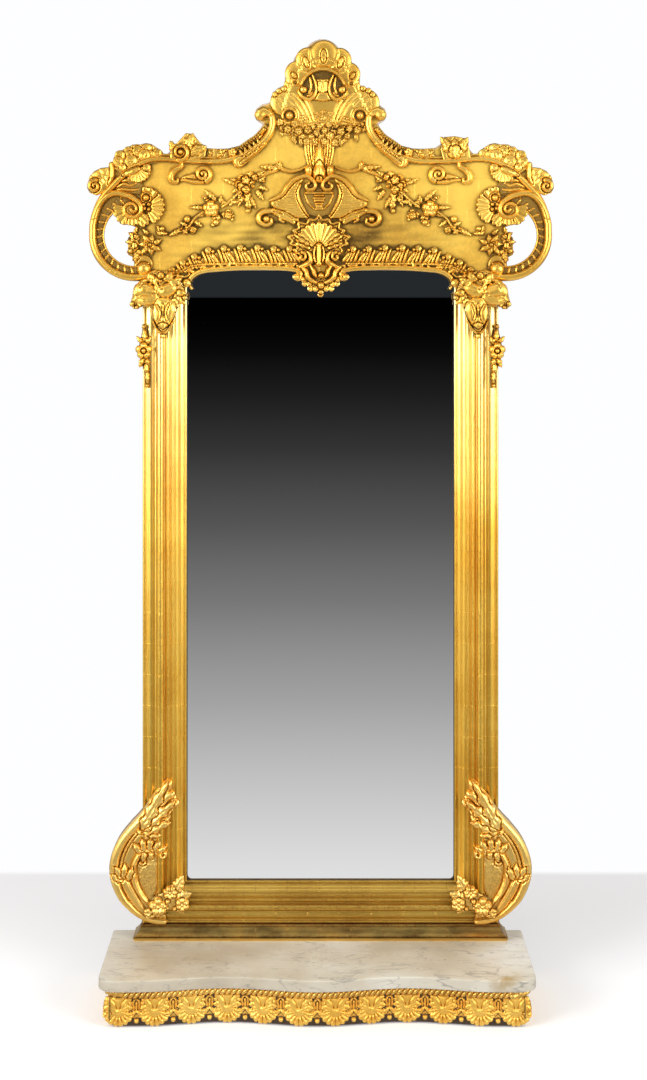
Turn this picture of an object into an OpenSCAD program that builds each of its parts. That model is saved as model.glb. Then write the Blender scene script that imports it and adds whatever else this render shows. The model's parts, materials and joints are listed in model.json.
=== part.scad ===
// Pier mirror: a tall gilded frame with a carved crest, a leaf capital on each stile,
// a scroll bracket at each foot, and a low serpentine base with a marble slab.
// Millimetres. The wall is the plane at the back, the floor is z = 0.

/* [Mirror opening] */
// Clear width of the mirror between the sight edges
sight_w = 696; // [560:4:820]
// Clear height from the bottom sight edge to the crest
sight_h = 1588; // [1300:4:1800]
// Thickness of the silvered plate
glass_t = 5; // [4:1:8]

/* [Frame] */
// Face width of the main moulding of the stiles
face_w = 74; // [60:1:90]
// Width of the set-back outer strip
strip_w = 42; // [30:1:56]
// Distance from the wall to the highest point of the main moulding
frame_d = 76; // [64:1:90]
// Height of the foot moulding that stands on the slab
foot_h = 38; // [28:1:50]

/* [Crest] */
// Thickness of the sawn crest board
board_t = 22; // [18:1:28]
// Radius of the big open scrolls at the ends of the crest
scroll_r = 109; // [95:1:125]
// Relief of the carved rims above the crest board
rim_t = 9; // [7:1:11]
// Height of the carved flowers and leaves above the board
relief_h = 14; // [9:1:20]

/* [Base] */
// Length of the marble slab
slab_w = 1078; // [1000:2:1160]
// Depth of the marble slab from the wall
slab_d = 340; // [280:2:400]
// Thickness of the marble slab
slab_t = 29; // [20:1:40]
// Depth of each hollow in the serpentine front
wave_d = 25; // [4:1:32]
// Height of the rope moulding under the slab
rope_h = 20; // [14:1:26]
// Height of the shell apron down to the floor
apron_h = 75; // [60:1:95]
// Number of shells along the front
shell_count = 12; // [8:1:16]

/* [Hidden] */
$fn = 48;
wall_y = slab_d / 2;
slab_z = apron_h + rope_h;
slab_top = slab_z + slab_t;
foot_top = slab_top + foot_h;
frame_w = face_w + strip_w;
sight_z = foot_top + frame_w;
crest_z = sight_z + sight_h;
sx = sight_w / 2;
mx = sx + face_w;
fx = sx + frame_w;
glass_front = 38;
rebate = 12;
strip_d = frame_d - 18;
board_front = glass_front + board_t;
shoulder_z = crest_z - 31;
post_top = crest_z + 108;
seat = 0.3;
rail_z = 4;
hook_x = sight_w / 2 - 48;
slab_shift = -8;
crest_x = 5;
gilt = [0.86, 0.66, 0.28];
gilt_dark = [0.72, 0.52, 0.2];
bare_wood = [0.6, 0.45, 0.3];
marble_tone = [0.85, 0.8, 0.7];
iron = [0.35, 0.34, 0.33];

// Name of the one piece to draw, or all

// Places an elevation drawing (x right, y up, z towards the room) at a distance from the wall
module elevation(d, z) {
  translate([0, wall_y - d, z])
    rotate([90, 0, 0])
      children();
}

module right_hand() {
  mirror([1, 0, 0])
    children();
}

function polar(c, r, a) = [c[0] + r * cos(a), c[1] + r * sin(a)];
function next_centre(c, r1, r2, a) = polar(c, r1 - r2, a);
function mirrored(p) = [for (i = [len(p) - 1:-1:0]) [-p[i][0], p[i][1]]];

// Half-round moulding section with a flat back
module half_disc(t) {
  intersection() {
    circle(r = t);
    translate([-t, 0])
      square([2 * t, t]);
  }
}

// Half-round arc of a scroll: centre, radius, start and end angle, half width
module half_ring(c, r, a0, a1, t) {
  translate([c[0], c[1], 0])
    rotate([0, 0, a0])
      rotate_extrude(angle = a1 - a0, $fn = 64)
        translate([r, 0])
          half_disc(t);
}

// Straight half-round run between two points
module half_bar(p, q, t) {
  len_pq = norm([q[0] - p[0], q[1] - p[1]]);
  turn = atan2(q[1] - p[1], q[0] - p[0]);
  translate([p[0], p[1], 0])
    rotate([0, 0, turn])
      rotate([90, 0, 90])
        linear_extrude(len_pq)
          half_disc(t);
}

module half_ball(c, r) {
  translate([c[0], c[1], 0])
    intersection() {
      sphere(r = r);
      translate([-2 * r, -2 * r, 0])
        cube([4 * r, 4 * r, 2 * r]);
    }
}

module ball_on(c, z, r) {
  translate([c[0], c[1], z])
    sphere(r = r);
}

// Raised knot with a lobed edge: radius, height, sectors, lobes, lobe depth, hollow of the middle
module knot(r, h, n, lobes, cut, dip) {
  rr = [1, 0.85, 0.42];
  zz = [0, 0.6, 0.95 - dip];
  edge = [for (j = [0:n - 1]) 1 - cut + cut * cos(lobes * j * 360 / n)];
  rings = [
    for (i = [0:2]) for (j = [0:n - 1])
      [r * rr[i] * edge[j] * cos(j * 360 / n), r * rr[i] * edge[j] * sin(j * 360 / n), h * zz[i]]
  ];
  pts = concat(rings, [[0, 0, h], [0, 0, 0]]);
  side_a = [for (i = [0:1]) for (j = [0:n - 1]) [i * n + j, i * n + n + j, i * n + n + (j + 1) % n]];
  side_b = [
    for (i = [0:1]) for (j = [0:n - 1])
      [i * n + j, i * n + n + (j + 1) % n, i * n + (j + 1) % n]
  ];
  top = [for (j = [0:n - 1]) [2 * n + j, 3 * n, 2 * n + (j + 1) % n]];
  under = [for (j = [0:n - 1]) [j, (j + 1) % n, 3 * n + 1]];
  polyhedron(points = pts, faces = concat(side_a, side_b, top, under), convexity = 4);
}

// Pointed leaf along +y with a raised midrib: length, width, height
module leaf(l, w, h) {
  ss = [0, 0.28, 0.58, 0.82];
  ww = [0.2, 0.5, 0.42, 0.22];
  hh = [0.55, 1, 0.85, 0.5];
  right = [for (i = [0:3]) [ww[i] * w, ss[i] * l, 0]];
  left = [for (i = [0:3]) [-ww[i] * w, ss[i] * l, 0]];
  mid = [for (i = [0:3]) [0, ss[i] * l, hh[i] * h]];
  pts = concat(right, left, mid, [[0, l, 0]]);
  faces_r = [for (i = [0:2]) each [[i, 8 + i, 9 + i], [i, 9 + i, i + 1]]];
  faces_l = [for (i = [0:2]) each [[5 + i, 9 + i, 8 + i], [5 + i, 8 + i, 4 + i]]];
  ends = [[3, 11, 12], [12, 11, 7], [4, 8, 0], [0, 1, 2, 3, 12, 7, 6, 5, 4]];
  polyhedron(points = pts, faces = concat(faces_r, faces_l, ends), convexity = 4);
}

module leaf_at(p, a, l, w, h) {
  translate([p[0], p[1], 0])
    rotate([0, 0, a - 90])
      leaf(l, w, h);
}

// Ribbed fan with its hub at the origin: radius, angles, ribs, hub height, rim height,
// and how much the sides are drawn in
module fan(r, a0, a1, ribs, h0, h1, draw = 0) {
  m = 2 * ribs;
  ang = [for (j = [0:m]) a0 + (a1 - a0) * j / m];
  mid = (a0 + a1) / 2;
  rad = [for (j = [0:m]) r * (j % 2 == 1 ? 1 : 0.9) * (1 - draw + draw * cos(ang[j] - mid))];
  top_h = [for (j = [0:m]) h1 * (j % 2 == 1 ? 1 : 0.6)];
  low = [for (j = [0:m]) [rad[j] * cos(ang[j]), rad[j] * sin(ang[j]), 0]];
  up = [for (j = [0:m]) [0.94 * rad[j] * cos(ang[j]), 0.94 * rad[j] * sin(ang[j]), top_h[j]]];
  pts = concat(low, up, [[0, 0, 0], [0, 0, h0]]);
  b = 2 * m + 2;
  t = b + 1;
  crown = [for (j = [0:m - 1]) [t, m + 2 + j, m + 1 + j]];
  rim = [for (j = [0:m - 1]) each [[j, m + 1 + j, m + 2 + j], [j, m + 2 + j, j + 1]]];
  floor_f = [for (j = [0:m - 1]) [b, j, j + 1]];
  caps = [[b, t, m + 1], [b, m + 1, 0], [b, m, 2 * m + 1], [b, 2 * m + 1, t]];
  polyhedron(points = pts, faces = concat(crown, rim, floor_f, caps), convexity = 4);
}

module fan_at(p, r, a0, a1, ribs, h0, h1) {
  translate([p[0], p[1], 0])
    fan(r, a0, a1, ribs, h0, h1);
}

module flower_at(p, r, h) {
  translate([p[0], p[1], 0])
    knot(r, h, 10, 5, 0.14, 0.4);
}

// Section of the main moulding, from the sight edge (0) outwards
module face_section() {
  d = frame_d;
  w = face_w;
  polygon(concat(
    [[0, glass_front], [0, d - 18], [1.5, d - 15], [5, d - 14], [8, d - 17], [9, d - 22]],
    [for (i = [0:8]) [9 + (w - 51) * i / 8, d - 21 + 12 * (1 - cos(180 * i / 8)) / 2]],
    [[w - 42, d - 14], [w - 41, d - 10]],
    [for (i = [1:5]) [w - 37 - 4 * cos(180 * i / 6), d - 10 + 5 * sin(180 * i / 6)]],
    [[w - 33, d - 10], [w - 32, d - 13], [w - 31, d - 10]],
    [for (i = [1:5]) [w - 26 - 5 * cos(180 * i / 6), d - 9 + 5 * sin(180 * i / 6)]],
    [[w - 21, d - 10], [w - 19, d - 15], [w - 15, d - 15], [w - 14, d - 8]],
    [for (i = [1:7]) [w - 7 - 7 * cos(180 * i / 8), d - 8 + 8 * sin(180 * i / 8)]],
    [[w, d - 8], [w, 0], [2 * rebate, 0], [2 * rebate, 22], [rebate, 22], [rebate, glass_front]]
  ));
}

// Section of the set-back strip, from the main moulding (0) outwards
module strip_section() {
  d = strip_d;
  w = strip_w;
  polygon(concat(
    [[0, 0], [0, d - 12]],
    [for (i = [0:6]) [4 + (w - 20) * i / 6, d - 12 + 10 * (1 - cos(90 * i / 6))]],
    [[w - 14, d - 2], [w - 13, d - 6], [w - 11, d - 6]],
    [for (i = [1:5]) [w - 6 - 5 * cos(180 * i / 6), d - 5 + 5 * sin(180 * i / 6)]],
    [[w - 1, d - 6], [w, d - 9], [w, 0]]
  ));
}

// A vertical run of a frame section on the left side, with the mitre at its foot
module upright_run(x0, z0, z1) {
  difference() {
    translate([x0, wall_y, z0])
      mirror([1, 0, 0])
        mirror([0, 1, 0])
          linear_extrude(z1 - z0)
            children();
    translate([-sx, wall_y + 1, sight_z])
      rotate([90, -45, 0])
        translate([-3 * frame_w, -4 * frame_w, 0])
          cube([6 * frame_w, 4 * frame_w, frame_d + 40]);
  }
}

module stile() {
  color(gilt)
    union() {
      upright_run(-sx, foot_top, shoulder_z)
        face_section();
      translate([-mx, wall_y - glass_front, shoulder_z])
        cube([face_w - 2 * rebate, glass_front, post_top - shoulder_z]);
    }
}

module side_strip() {
  color(gilt)
    upright_run(-mx, foot_top, shoulder_z)
      strip_section();
}

module bottom_rail() {
  color(gilt)
    difference() {
      union() {
        translate([-fx, wall_y, sight_z])
          rotate([0, 90, 0])
            mirror([0, 1, 0])
              linear_extrude(2 * fx)
                face_section();
        translate([-fx, wall_y, sight_z - face_w])
          rotate([0, 90, 0])
            mirror([0, 1, 0])
              linear_extrude(2 * fx)
                strip_section();
      }
      translate([-sx, wall_y + 1, sight_z])
        rotate([90, -45, 0])
          translate([-3 * frame_w, 0, 0])
            cube([6 * frame_w, 4 * frame_w, frame_d + 40]);
      translate([sx, wall_y + 1, sight_z])
        rotate([90, 45, 0])
          translate([-3 * frame_w, 0, 0])
            cube([6 * frame_w, 4 * frame_w, frame_d + 40]);
    }
}

// Plain rail behind the crest, let in for the wall plates
module top_rail() {
  low = crest_z + 28;
  color(bare_wood)
    difference() {
      translate([-sx - 2 * rebate, wall_y - glass_front, low])
        cube([sight_w + 4 * rebate, glass_front, post_top - low]);
      for (s = [-1, 1]) {
        translate([s * hook_x - 20 - seat, wall_y - 3 - seat, post_top - 30 - seat])
          cube([40 + 2 * seat, 4, 50]);
        for (u = [-1, 1])
          translate([s * hook_x + u * 10, wall_y + 1, post_top - 15])
            rotate([90, 0, 0])
              cylinder(r = 2 + seat / 2, h = 22);
      }
    }
}

// Plate cut with small round lower corners, seen in front of its rebate
module mirror_plate() {
  w = sight_w + 2 * rebate - 4;
  color([0.75, 0.78, 0.8])
    elevation(glass_front - glass_t, 0)
      translate([-w / 2, sight_z - rebate + 2])
        linear_extrude(glass_t)
          square([w, sight_h + rebate + 22]);
}

module back_boards() {
  w = sight_w + 4 * rebate - 4;
  h = (sight_h + 48) / 3;
  color(bare_wood)
    for (i = [0:2])
      translate([-w / 2, wall_y - 22, sight_z - 2 * rebate + 2 + i * h])
        cube([w, 12, h - 1]);
}

// Small blocks glued in the rebate behind the plate
module glazing_blocks() {
  gap = glass_front - glass_t - 22;
  mid_x = sx + rebate / 2;
  color(bare_wood)
    for (side = [-1, 1])
      for (i = [0:5])
        translate([side * mid_x - rebate / 2, wall_y - 22 - gap, sight_z + 60 + i * sight_h / 6])
          cube([rebate, gap, 60]);
}

// Foot moulding: the same ogee on the front and on both ends
module foot_moulding() {
  w0 = fx + 4;
  d0 = strip_d + 4;
  flare = 16;
  curve = [
    for (i = [0:8])
      [flare * (1 - cos(90 * i / 8)), foot_h - 4 - (foot_h - 12) * i / 8]
  ];
  lip = [[flare + 3, 8], [flare + 3, 5], [flare, 3], [flare, 0]];
  side = concat([[0, foot_h], [0, foot_h - 4]], curve, lip);
  outer = [for (p = side) [w0 + p[0], p[1]]];
  front = [for (p = side) [d0 + p[0], p[1]]];
  color(gilt)
    intersection() {
      translate([0, wall_y, slab_top])
        rotate([90, 0, 0])
          linear_extrude(d0 + flare + 10)
            polygon(concat(outer, mirrored(outer)));
      translate([-w0 - flare - 10, wall_y, slab_top])
        rotate([90, 0, 90])
          linear_extrude(2 * (w0 + flare + 10))
            mirror([1, 0, 0])
              polygon(concat([[0, 0]], [[0, foot_h]], front));
    }
}

big_c = [-fx - 20, 90];

// Left half of the sawn outline of the crest board
function board_half() = [
  [0, 0],
  [-sx + 46, 0],
  [-sx + 20, -5],
  [-sx + 4, -17],
  [-sx, -31],
  [-fx - 8, -31],
  [-fx - 22, -8],
  [-fx - 22, 32],
  [-fx - 38, 40],
  [-fx - 38, 84],
  [-fx - 12, 110],
  [-fx - 34, 118],
  [-fx - 59, 121],
  [-fx - 68, 154],
  [-fx - 74, 178],
  [-fx - 104, 200],
  [-fx - 88, 238],
  [-fx - 76, 268],
  [-fx - 52, 300],
  [-fx - 16, 318],
  [-fx + 12, 326],
  [-fx + 40, 312],
  [-fx + 62, 300],
  [-fx + 76, 318],
  [-fx + 96, 334],
  [-fx + 122, 344],
  [-fx + 146, 334],
  [-fx + 164, 314],
  [-222, 314],
  [-184, 336],
  [-150, 372],
  [-172, 396],
  [-170, 420],
  [-150, 434],
  [-128, 440],
  [-100, 470],
  [-60, 540],
  [0, 560]
];

module crest_board() {
  color(gilt)
    elevation(glass_front, crest_z)
      linear_extrude(board_t)
        union() {
          polygon(concat(board_half(), mirrored(board_half())));
          for (p = shell_lobes)
            for (side = [-1, 1])
              translate([side * p[0] + crest_x, p[1]])
                circle(r = p[2] + 7);
          for (side = [0, 1])
            mirror([side, 0])
              translate(big_c)
                c_outline();
        }
}

// Open ring of the big scroll as sawn in the board
module c_outline() {
  difference() {
    circle(r = scroll_r + 10, $fn = 96);
    circle(r = scroll_r - 18, $fn = 96);
    translate([0, -160])
      square([160, 320]);
  }
  translate([-2, -scroll_r - 10])
    square([30, 28]);
}

// Upright and level battens glued to the back of the crest board
module crest_battens() {
  upright_x = 46;
  upright_w = 50;
  level_w = 338;
  color(bare_wood)
    for (side = [-1, 1]) {
      translate([side * upright_x - upright_w / 2, wall_y - glass_front, post_top])
        cube([upright_w, 24, 410]);
      translate([
        side * (upright_x + (upright_w + level_w) / 2 + seat) - level_w / 2,
        wall_y - glass_front,
        post_top + 40
      ])
        cube([level_w, 20, 46]);
    }
}

// Big open scroll that winds into a spiral
module c_scroll() {
  r2 = 30;
  r3 = 27;
  r4 = 22;
  r5 = 16;
  r6 = 11;
  c2 = next_centre(big_c, scroll_r, r2, 100);
  c3 = next_centre(c2, r2, r3, 0);
  c4 = next_centre(c3, r3, r4, -90);
  c5 = next_centre(c4, r4, r5, 180);
  c6 = next_centre(c5, r5, r6, 90);
  color(gilt)
    elevation(board_front, crest_z)
      union() {
        half_ring(big_c, scroll_r, 100, 279, rim_t);
        half_ring(c2, r2, 0, 100, rim_t - 1);
        half_ring(c3, r3, -90, 0, rim_t - 2);
        half_ring(c4, r4, 180, 270, rim_t - 3);
        half_ring(c5, r5, 90, 180, rim_t - 4);
        half_ring(c6, r6, 0, 90, rim_t - 5);
        half_ball(polar(c6, r6, 0), rim_t - 3);
        half_ball([-fx + 4, 4], 21);
      }
}

dale_c = [-262, 119 + 168 + 150];

function curl_eye() = next_centre(dale_c, 150, 27, -20);

// Rim that climbs from the open scroll to the curl beside the shell
module top_scroll() {
  hill_r = 168;
  hill = [-fx + 42, 119];
  dale_r = 150;
  dale = dale_c;
  curl = curl_eye();
  color(gilt)
    elevation(board_front, crest_z)
      union() {
        half_ring(hill, hill_r, 90, 163, rim_t - 1);
        half_bar([hill[0], hill[1] + hill_r], [dale[0], dale[1] - dale_r], rim_t - 1);
        half_ring(dale, dale_r, -90, -20, rim_t - 1);
        half_ring(curl, 27, -20, 100, rim_t);
        half_ball([curl[0] - 6, curl[1] + 6], 17);
        for (i = [0:3])
          leaf_at([-232 + 24 * i, 300 + 5 * i * i], 60 - 12 * i, 26, 18, relief_h - 4);
      }
}

// Leaf that turns over the shoulder of the crest and ends in a spiral
module ear_leaf() {
  eye = [-fx - 116, 216];
  color(gilt)
    elevation(board_front - 12, crest_z)
      difference() {
        union() {
          linear_extrude(12 + seat)
            polygon([
              [-fx - 106, 204], [-fx - 118, 186], [-fx - 142, 200], [-fx - 146, 228],
              [-fx - 128, 256], [-fx - 100, 268], [-fx - 84, 284], [-fx - 76, 270]
            ]);
          translate([0, 0, 12 + seat]) {
            half_ring(eye, 19, 60, 330, 7);
            half_ring([eye[0] + 2, eye[1] - 2], 9, 60, 300, 4);
            leaf_at([-fx - 96, 226], 118, 66, 46, 12);
            leaf_at([-fx - 90, 244], 74, 42, 24, 10);
          }
        }
        translate([0, 0, -1])
          linear_extrude(13)
            offset_board();
        translate([-fx + 42, 119, 12])
          cylinder(r = 168 + rim_t, h = 40, $fn = 96);
        translate([-fx - 60, 279, 12])
          cylinder(r = 20, h = 40);
      }
}

// The board outline with a small clearance for the pieces let in beside it
module offset_board() {
  polygon([
    [-fx - 74, 178], [-fx - 104 - 2 * seat, 200 - seat], [-fx - 88 - seat, 238 + seat],
    [-fx - 76 - seat, 268 + seat], [-fx - 52 - seat, 300 + seat], [-fx + 10, 200]
  ]);
  translate(big_c)
    circle(r = scroll_r + 10 + seat, $fn = 96);
}

// Overlapping round scales along the shoulder
module scale_ruffle() {
  color(gilt)
    elevation(board_front, crest_z)
      difference() {
        union() {
          for (i = [0:5])
            translate([-fx - 60 + 22 * i, 266 + 46 * sin(30 * i + 16), 0])
              cylinder(r1 = 19, r2 = 12, h = 8 + 1.2 * (i % 2));
          for (i = [0:2])
            translate([-fx - 22 + 22 * i, 292 + 12 * i - 6 * i * i, 0])
              cylinder(r1 = 14, r2 = 8, h = 13 - i);
        }
        translate([-fx + 42, 119, -1])
          cylinder(r = 168 + rim_t, h = 40, $fn = 96);
      }
}

// Lobed shell that wraps the spiral, with a string of pearls
module corner_shell() {
  eye = [-fx - 32, 168];
  color(gilt)
    elevation(board_front, crest_z)
      intersection() {
        union() {
          difference() {
            translate([-fx - 2, 170, 0])
              knot(66, 15, 30, 10, 0.06, 0);
            translate([eye[0], eye[1], -1])
              cylinder(r = 40, h = 60);
          }
          for (i = [0:3])
            ball_on([-fx + 11 + 3 * i, 194 - 15 * i], 12, 7 - i);
          leaf_at([-fx - 72, 206], 18, 66, 30, relief_h);
          leaf_at([-fx - 24, 212], 150, 40, 22, relief_h - 3);
        }
        translate([0, 0, -1])
          linear_extrude(60)
            difference() {
              polygon(board_half());
              translate(big_c)
                difference() {
                  circle(r = scroll_r + rim_t + 1, $fn = 96);
                  circle(r = scroll_r - rim_t - 1, $fn = 96);
                  translate([-30, 0])
                    rotate([0, 0, -14])
                      square([300, 300]);
                }
            }
      }
}

// Rose that sits on the top rim
module rose() {
  color(gilt)
    elevation(board_front + rim_t - 1 + seat, crest_z)
      union() {
        translate([-fx + 100, 306, 0])
          knot(26, relief_h + 6, 16, 4, 0.06, 0.1);
        leaf_at([-fx + 116, 318], 8, 58, 28, relief_h);
        leaf_at([-fx + 108, 326], 60, 26, 26, relief_h - 3);
        half_ball([-fx + 100, 306], 12);
      }
}

module bud() {
  color(gilt)
    elevation(board_front + rim_t - 1 + seat, crest_z)
      union() {
        translate([-fx + 112, 308, 0])
          knot(22, relief_h + 8, 12, 3, 0.08, 0);
        leaf_at([-fx + 100, 312], 118, 38, 24, relief_h - 2);
        leaf_at([-fx + 122, 316], 70, 36, 24, relief_h - 2);
        leaf_at([-fx + 132, 306], 10, 34, 20, relief_h - 3);
      }
}

// Small ribbed shell under the rim on each side
module small_shells() {
  color(gilt)
    elevation(board_front, crest_z)
      for (side = [0, 1])
        mirror([side, 0, 0])
          translate([-fx - 20, 262, 0])
            fan(31, -46, 14, 4, 11, 8);
}

// Ribbon with a spiral at its end, hanging from the rim
module hanging_scroll() {
  eye = [-307, 246];
  r1 = 25;
  r2 = 15;
  c2 = next_centre(eye, r1, r2, 90);
  tail = polar(eye, r1 + 70, 250);
  tip = polar(tail, 70 + 14, 118);
  color(gilt)
    elevation(board_front, crest_z)
      union() {
        half_ring(eye, r1, 90, 250, 5.5);
        half_ring(eye, r1, -70, 90, 6);
        half_ring(c2, r2, 90, 330, 5);
        half_ball([eye[0] + 2, eye[1] + 1], 9);
        half_ring(tail, 70, 70, 118, 5);
        half_ring([tip[0] + 4, tip[1] - 4], 16, 110, 290, 5);
        leaf_at([tip[0] - 10, tip[1]], 62, 52, 20, 9);
      }
}

// Swag of flowers and leaves from the middle cartouche to the shoulder
module garland() {
  spots = [
    [-186, 226, 25], [-206, 212, 20], [-180, 196, 18],
    [-284, 156, 25], [-258, 168, 18], [-332, 132, 17]
  ];
  sprigs = [
    [[-172, 232], 25, 42, 20], [[-204, 232], 150, 46, 18], [[-150, 244], 12, 58, 14],
    [[-206, 208], 190, 44, 18], [[-186, 174], 265, 34, 18], [[-266, 186], 128, 42, 18],
    [[-230, 190], 215, 32, 16], [[-296, 158], 190, 34, 16], [[-280, 146], 265, 32, 18],
    [[-316, 146], 205, 36, 16], [[-338, 124], 200, 46, 14], [[-262, 158], 330, 30, 14],
    [[-340, 138], 160, 22, 14]
  ];
  color(gilt)
    elevation(board_front, crest_z)
      union() {
        for (s = spots)
          flower_at([s[0], s[1]], s[2], relief_h);
        for (g = sprigs)
          leaf_at(g[0], g[1], g[2], g[3], relief_h - 5);
        half_bar([-168, 232], [-112, 256], 3);
      }
}

module corner_flowers() {
  spots = [[-fx + 20, 70, 22], [-fx - 6, 62, 20], [-fx - 14, 88, 16], [-fx - 8, 40, 15]];
  color(gilt)
    elevation(board_front, crest_z)
      union() {
        for (s = spots)
          flower_at([s[0], s[1]], s[2], relief_h);
        leaf_at([-fx + 34, 84], 55, 34, 18, relief_h - 5);
        leaf_at([-fx + 38, 66], 0, 28, 16, relief_h - 5);
        leaf_at([-fx - 18, 72], 190, 24, 20, relief_h - 4);
        leaf_at([-fx - 16, 48], 215, 26, 18, relief_h - 4);
      }
}

// Great shell of the crest, with a row of hollow flutes round the cartouche
module crest_shell() {
  color(gilt)
    elevation(board_front, crest_z)
      difference() {
        translate([crest_x, 0, 0])
          shell_body();
        for (s = [-1, 1])
          translate([s * curl_eye()[0], curl_eye()[1], -1])
            cylinder(r = 27 + rim_t + seat, h = 60);
      }
}

shell_lobes = [[0, 553, 42], [29, 531, 42], [50, 496, 41], [88, 434, 42]];

module shell_body() {
  difference() {
    union() {
      linear_extrude(8)
        union() {
          for (s = [-1, 1])
            for (p = shell_lobes)
              translate([s * p[0], p[1]])
                circle(r = p[2]);
          polygon([[-90, 393], [90, 393], [60, 560], [-60, 560]]);
        }
      for (s = [-1, 1])
        for (p = shell_lobes)
          translate([s * p[0], p[1], 8])
            cylinder(r1 = p[2] - 1, r2 = p[2] - 24, h = 11);
    }
    translate([0, 472, 8])
      cylinder(r = 57.5, h = 20);
    for (a = [-76, -38, 0, 38, 76])
      translate([68 * sin(a), 480 + 64 * cos(a), 24])
        sphere(r = 12);
    for (s = [-1, 1])
      translate([s * 108, 434, 24])
        sphere(r = 13);
  }
}

// Hooded ring in the middle of the shell, with two inner scrolls and a waisted middle
module shell_cartouche() {
  color(gilt)
    elevation(board_front + 8, crest_z)
      translate([crest_x, 0, 0])
        union() {
          half_ring([0, 468], 51, 0, 180, 5);
          for (s = [-1, 1]) {
            half_ring([s * 31, 468], 20, s > 0 ? -130 : 180, s > 0 ? 0 : 310, 5);
            half_ring([s * 46, 492], 26, s > 0 ? 150 : -40, s > 0 ? 220 : 30, 3);
            half_ball([s * 43, 466], 9);
          }
          half_bar([-20, 448], [20, 448], 5);
          translate([0, 452, 0])
            linear_extrude(7)
              polygon([[-24, 0], [24, 0], [15, 22], [22, 46], [-22, 46], [-15, 22]]);
        }
}

// Band of small blossoms under the shell
module flower_band() {
  color(gilt_dark)
    elevation(board_front, crest_z)
      translate([crest_x, 0, 0])
        union() {
          for (i = [0:4])
            flower_at([-92 + 46 * i, 364 + 3 * (i % 2)], 22, relief_h);
          for (i = [0:3])
            flower_at([-69 + 46 * i, 350 + 3 * (i % 2)], 20, relief_h + 2);
          for (s = [-1, 1]) {
            leaf_at([s * 56, 344], 270 + s * 20, 26, 16, relief_h - 4);
            leaf_at([s * 88, 352], 270 + s * 30, 26, 16, relief_h - 4);
            half_ball([s * 97, 381], 9);
          }
        }
}

// Upright ribs that hang from the blossom band
module fringe() {
  color(gilt)
    elevation(board_front, crest_z)
      translate([crest_x, 0, 0])
        for (i = [0:3])
          for (s = [-1, 1])
            half_bar([s * (24 + 7.5 * i), 268 + 4 * i], [s * (24 + 7.5 * i), 326 - 4 * i], 3.6);
}

module tulip_bud() {
  color(gilt)
    elevation(board_front, crest_z)
      translate([-2, 0, 0])
        union() {
          leaf_at([0, 252], 90, 72, 22, relief_h + 4);
          half_ball([-12, 254], 12);
          half_ball([14, 254], 12);
        }
}

// Heart-shaped middle cartouche with rolled shoulders and two arms that end in spirals
module lyre_cartouche() {
  color(gilt)
    elevation(board_front, crest_z)
      union() {
        linear_extrude(5)
          polygon([
            [-30, 232], [30, 232], [62, 228], [96, 186], [126, 174], [112, 160], [66, 148], [44, 134],
            [-44, 134], [-66, 148], [-112, 160], [-126, 174], [-96, 186], [-62, 228]
          ]);
        translate([0, 0, 5]) {
          for (s = [0, 1])
            mirror([s, 0, 0]) {
              half_ring([-30, 220], 13, -10, 250, 4);
              half_ring([0, 196], 54, 130, 230, 4);
              half_ring([-130, 262], 77, -88, -18, 4);
              half_ring([-46, 226], 12, 60, 150, 4);
              leaf_at([-100, 186], 200, 34, 22, 8);
            }
          half_bar([-38, 204], [38, 204], 3);
        }
        for (s = [0, 1])
          mirror([s, 0, 0]) {
            half_ring([-138, 128], 17, 60, 380, 5);
            half_ball([-138, 126], 9);
            half_bar([-130, 145], [-70, 136], 5);
          }
      }
}

// Upright leaves over the pendant
module palmette() {
  turns = [-84, -60, -33, 0, 33, 60, 84];
  color(gilt)
    elevation(board_front, crest_z)
      translate([crest_x - 2, 60, 0])
        union() {
          for (i = [0:6])
            rotate([0, 0, -turns[i]])
              translate([0, 12 + abs(i - 3), 0])
                leaf([48, 66, 68, 60, 68, 66, 48][i], 30, relief_h - abs(i - 3));
          linear_extrude(7)
            difference() {
              circle(r = 24);
              translate([-30, -60])
                square([60, 55]);
            }
        }
}

// Carved drop that hangs over the top of the plate
module pendant() {
  color(gilt)
    elevation(board_front, crest_z)
      translate([crest_x - 2, 0, 0])
        union() {
          linear_extrude(8)
            polygon([
              [-66, 26], [-24, 52], [24, 52], [66, 26], [52, -10],
              [24, -48], [0, -64], [-24, -48], [-52, -10]
            ]);
          translate([0, 0, 8]) {
            half_ring([-44, 30], 20, -110, 80, 5);
            half_ring([44, 30], 20, 100, 290, 5);
            translate([0, 14, 0])
              knot(20, 12, 12, 2, 0.1, 0);
            translate([0, -4, 0])
              fan(54, 205, 335, 5, 12, 5);
            half_ball([0, -54], 8);
          }
        }
}

// Pleated band above the sight bead
module pleated_band() {
  count = round((sx - 62) / 43);
  pitch = (sx - 62) / count;
  color(gilt)
    elevation(board_front, crest_z)
      union() {
        for (i = [0:count - 1])
          fan_at([-70 - pitch * (i + 0.5) + 4, 14], 48, 52, 118, 3, 13, 9);
        fan_at([-sx + 2, 4], 46, 60, 122, 3, 13, 9);
        fan_at([-sx - 32, -6], 40, 66, 128, 3, 13, 9);
        translate([-sx + 6, 13, 0])
          linear_extrude(5)
            square([sx - 78, 20]);
      }
}

// Rolled bead round the arched top of the opening
module sight_bead() {
  eye = [-sx + 10, -22];
  color(gilt)
    elevation(board_front, crest_z)
      union() {
        half_ring([-sx + 46, -34], 40, 90, 170, 6);
        half_bar([-sx + 46, 6], [-84, 6], 6);
        half_ring([-84, -10], 16, 0, 90, 5);
        half_ball([-68, -12], 9);
      }
}

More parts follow.
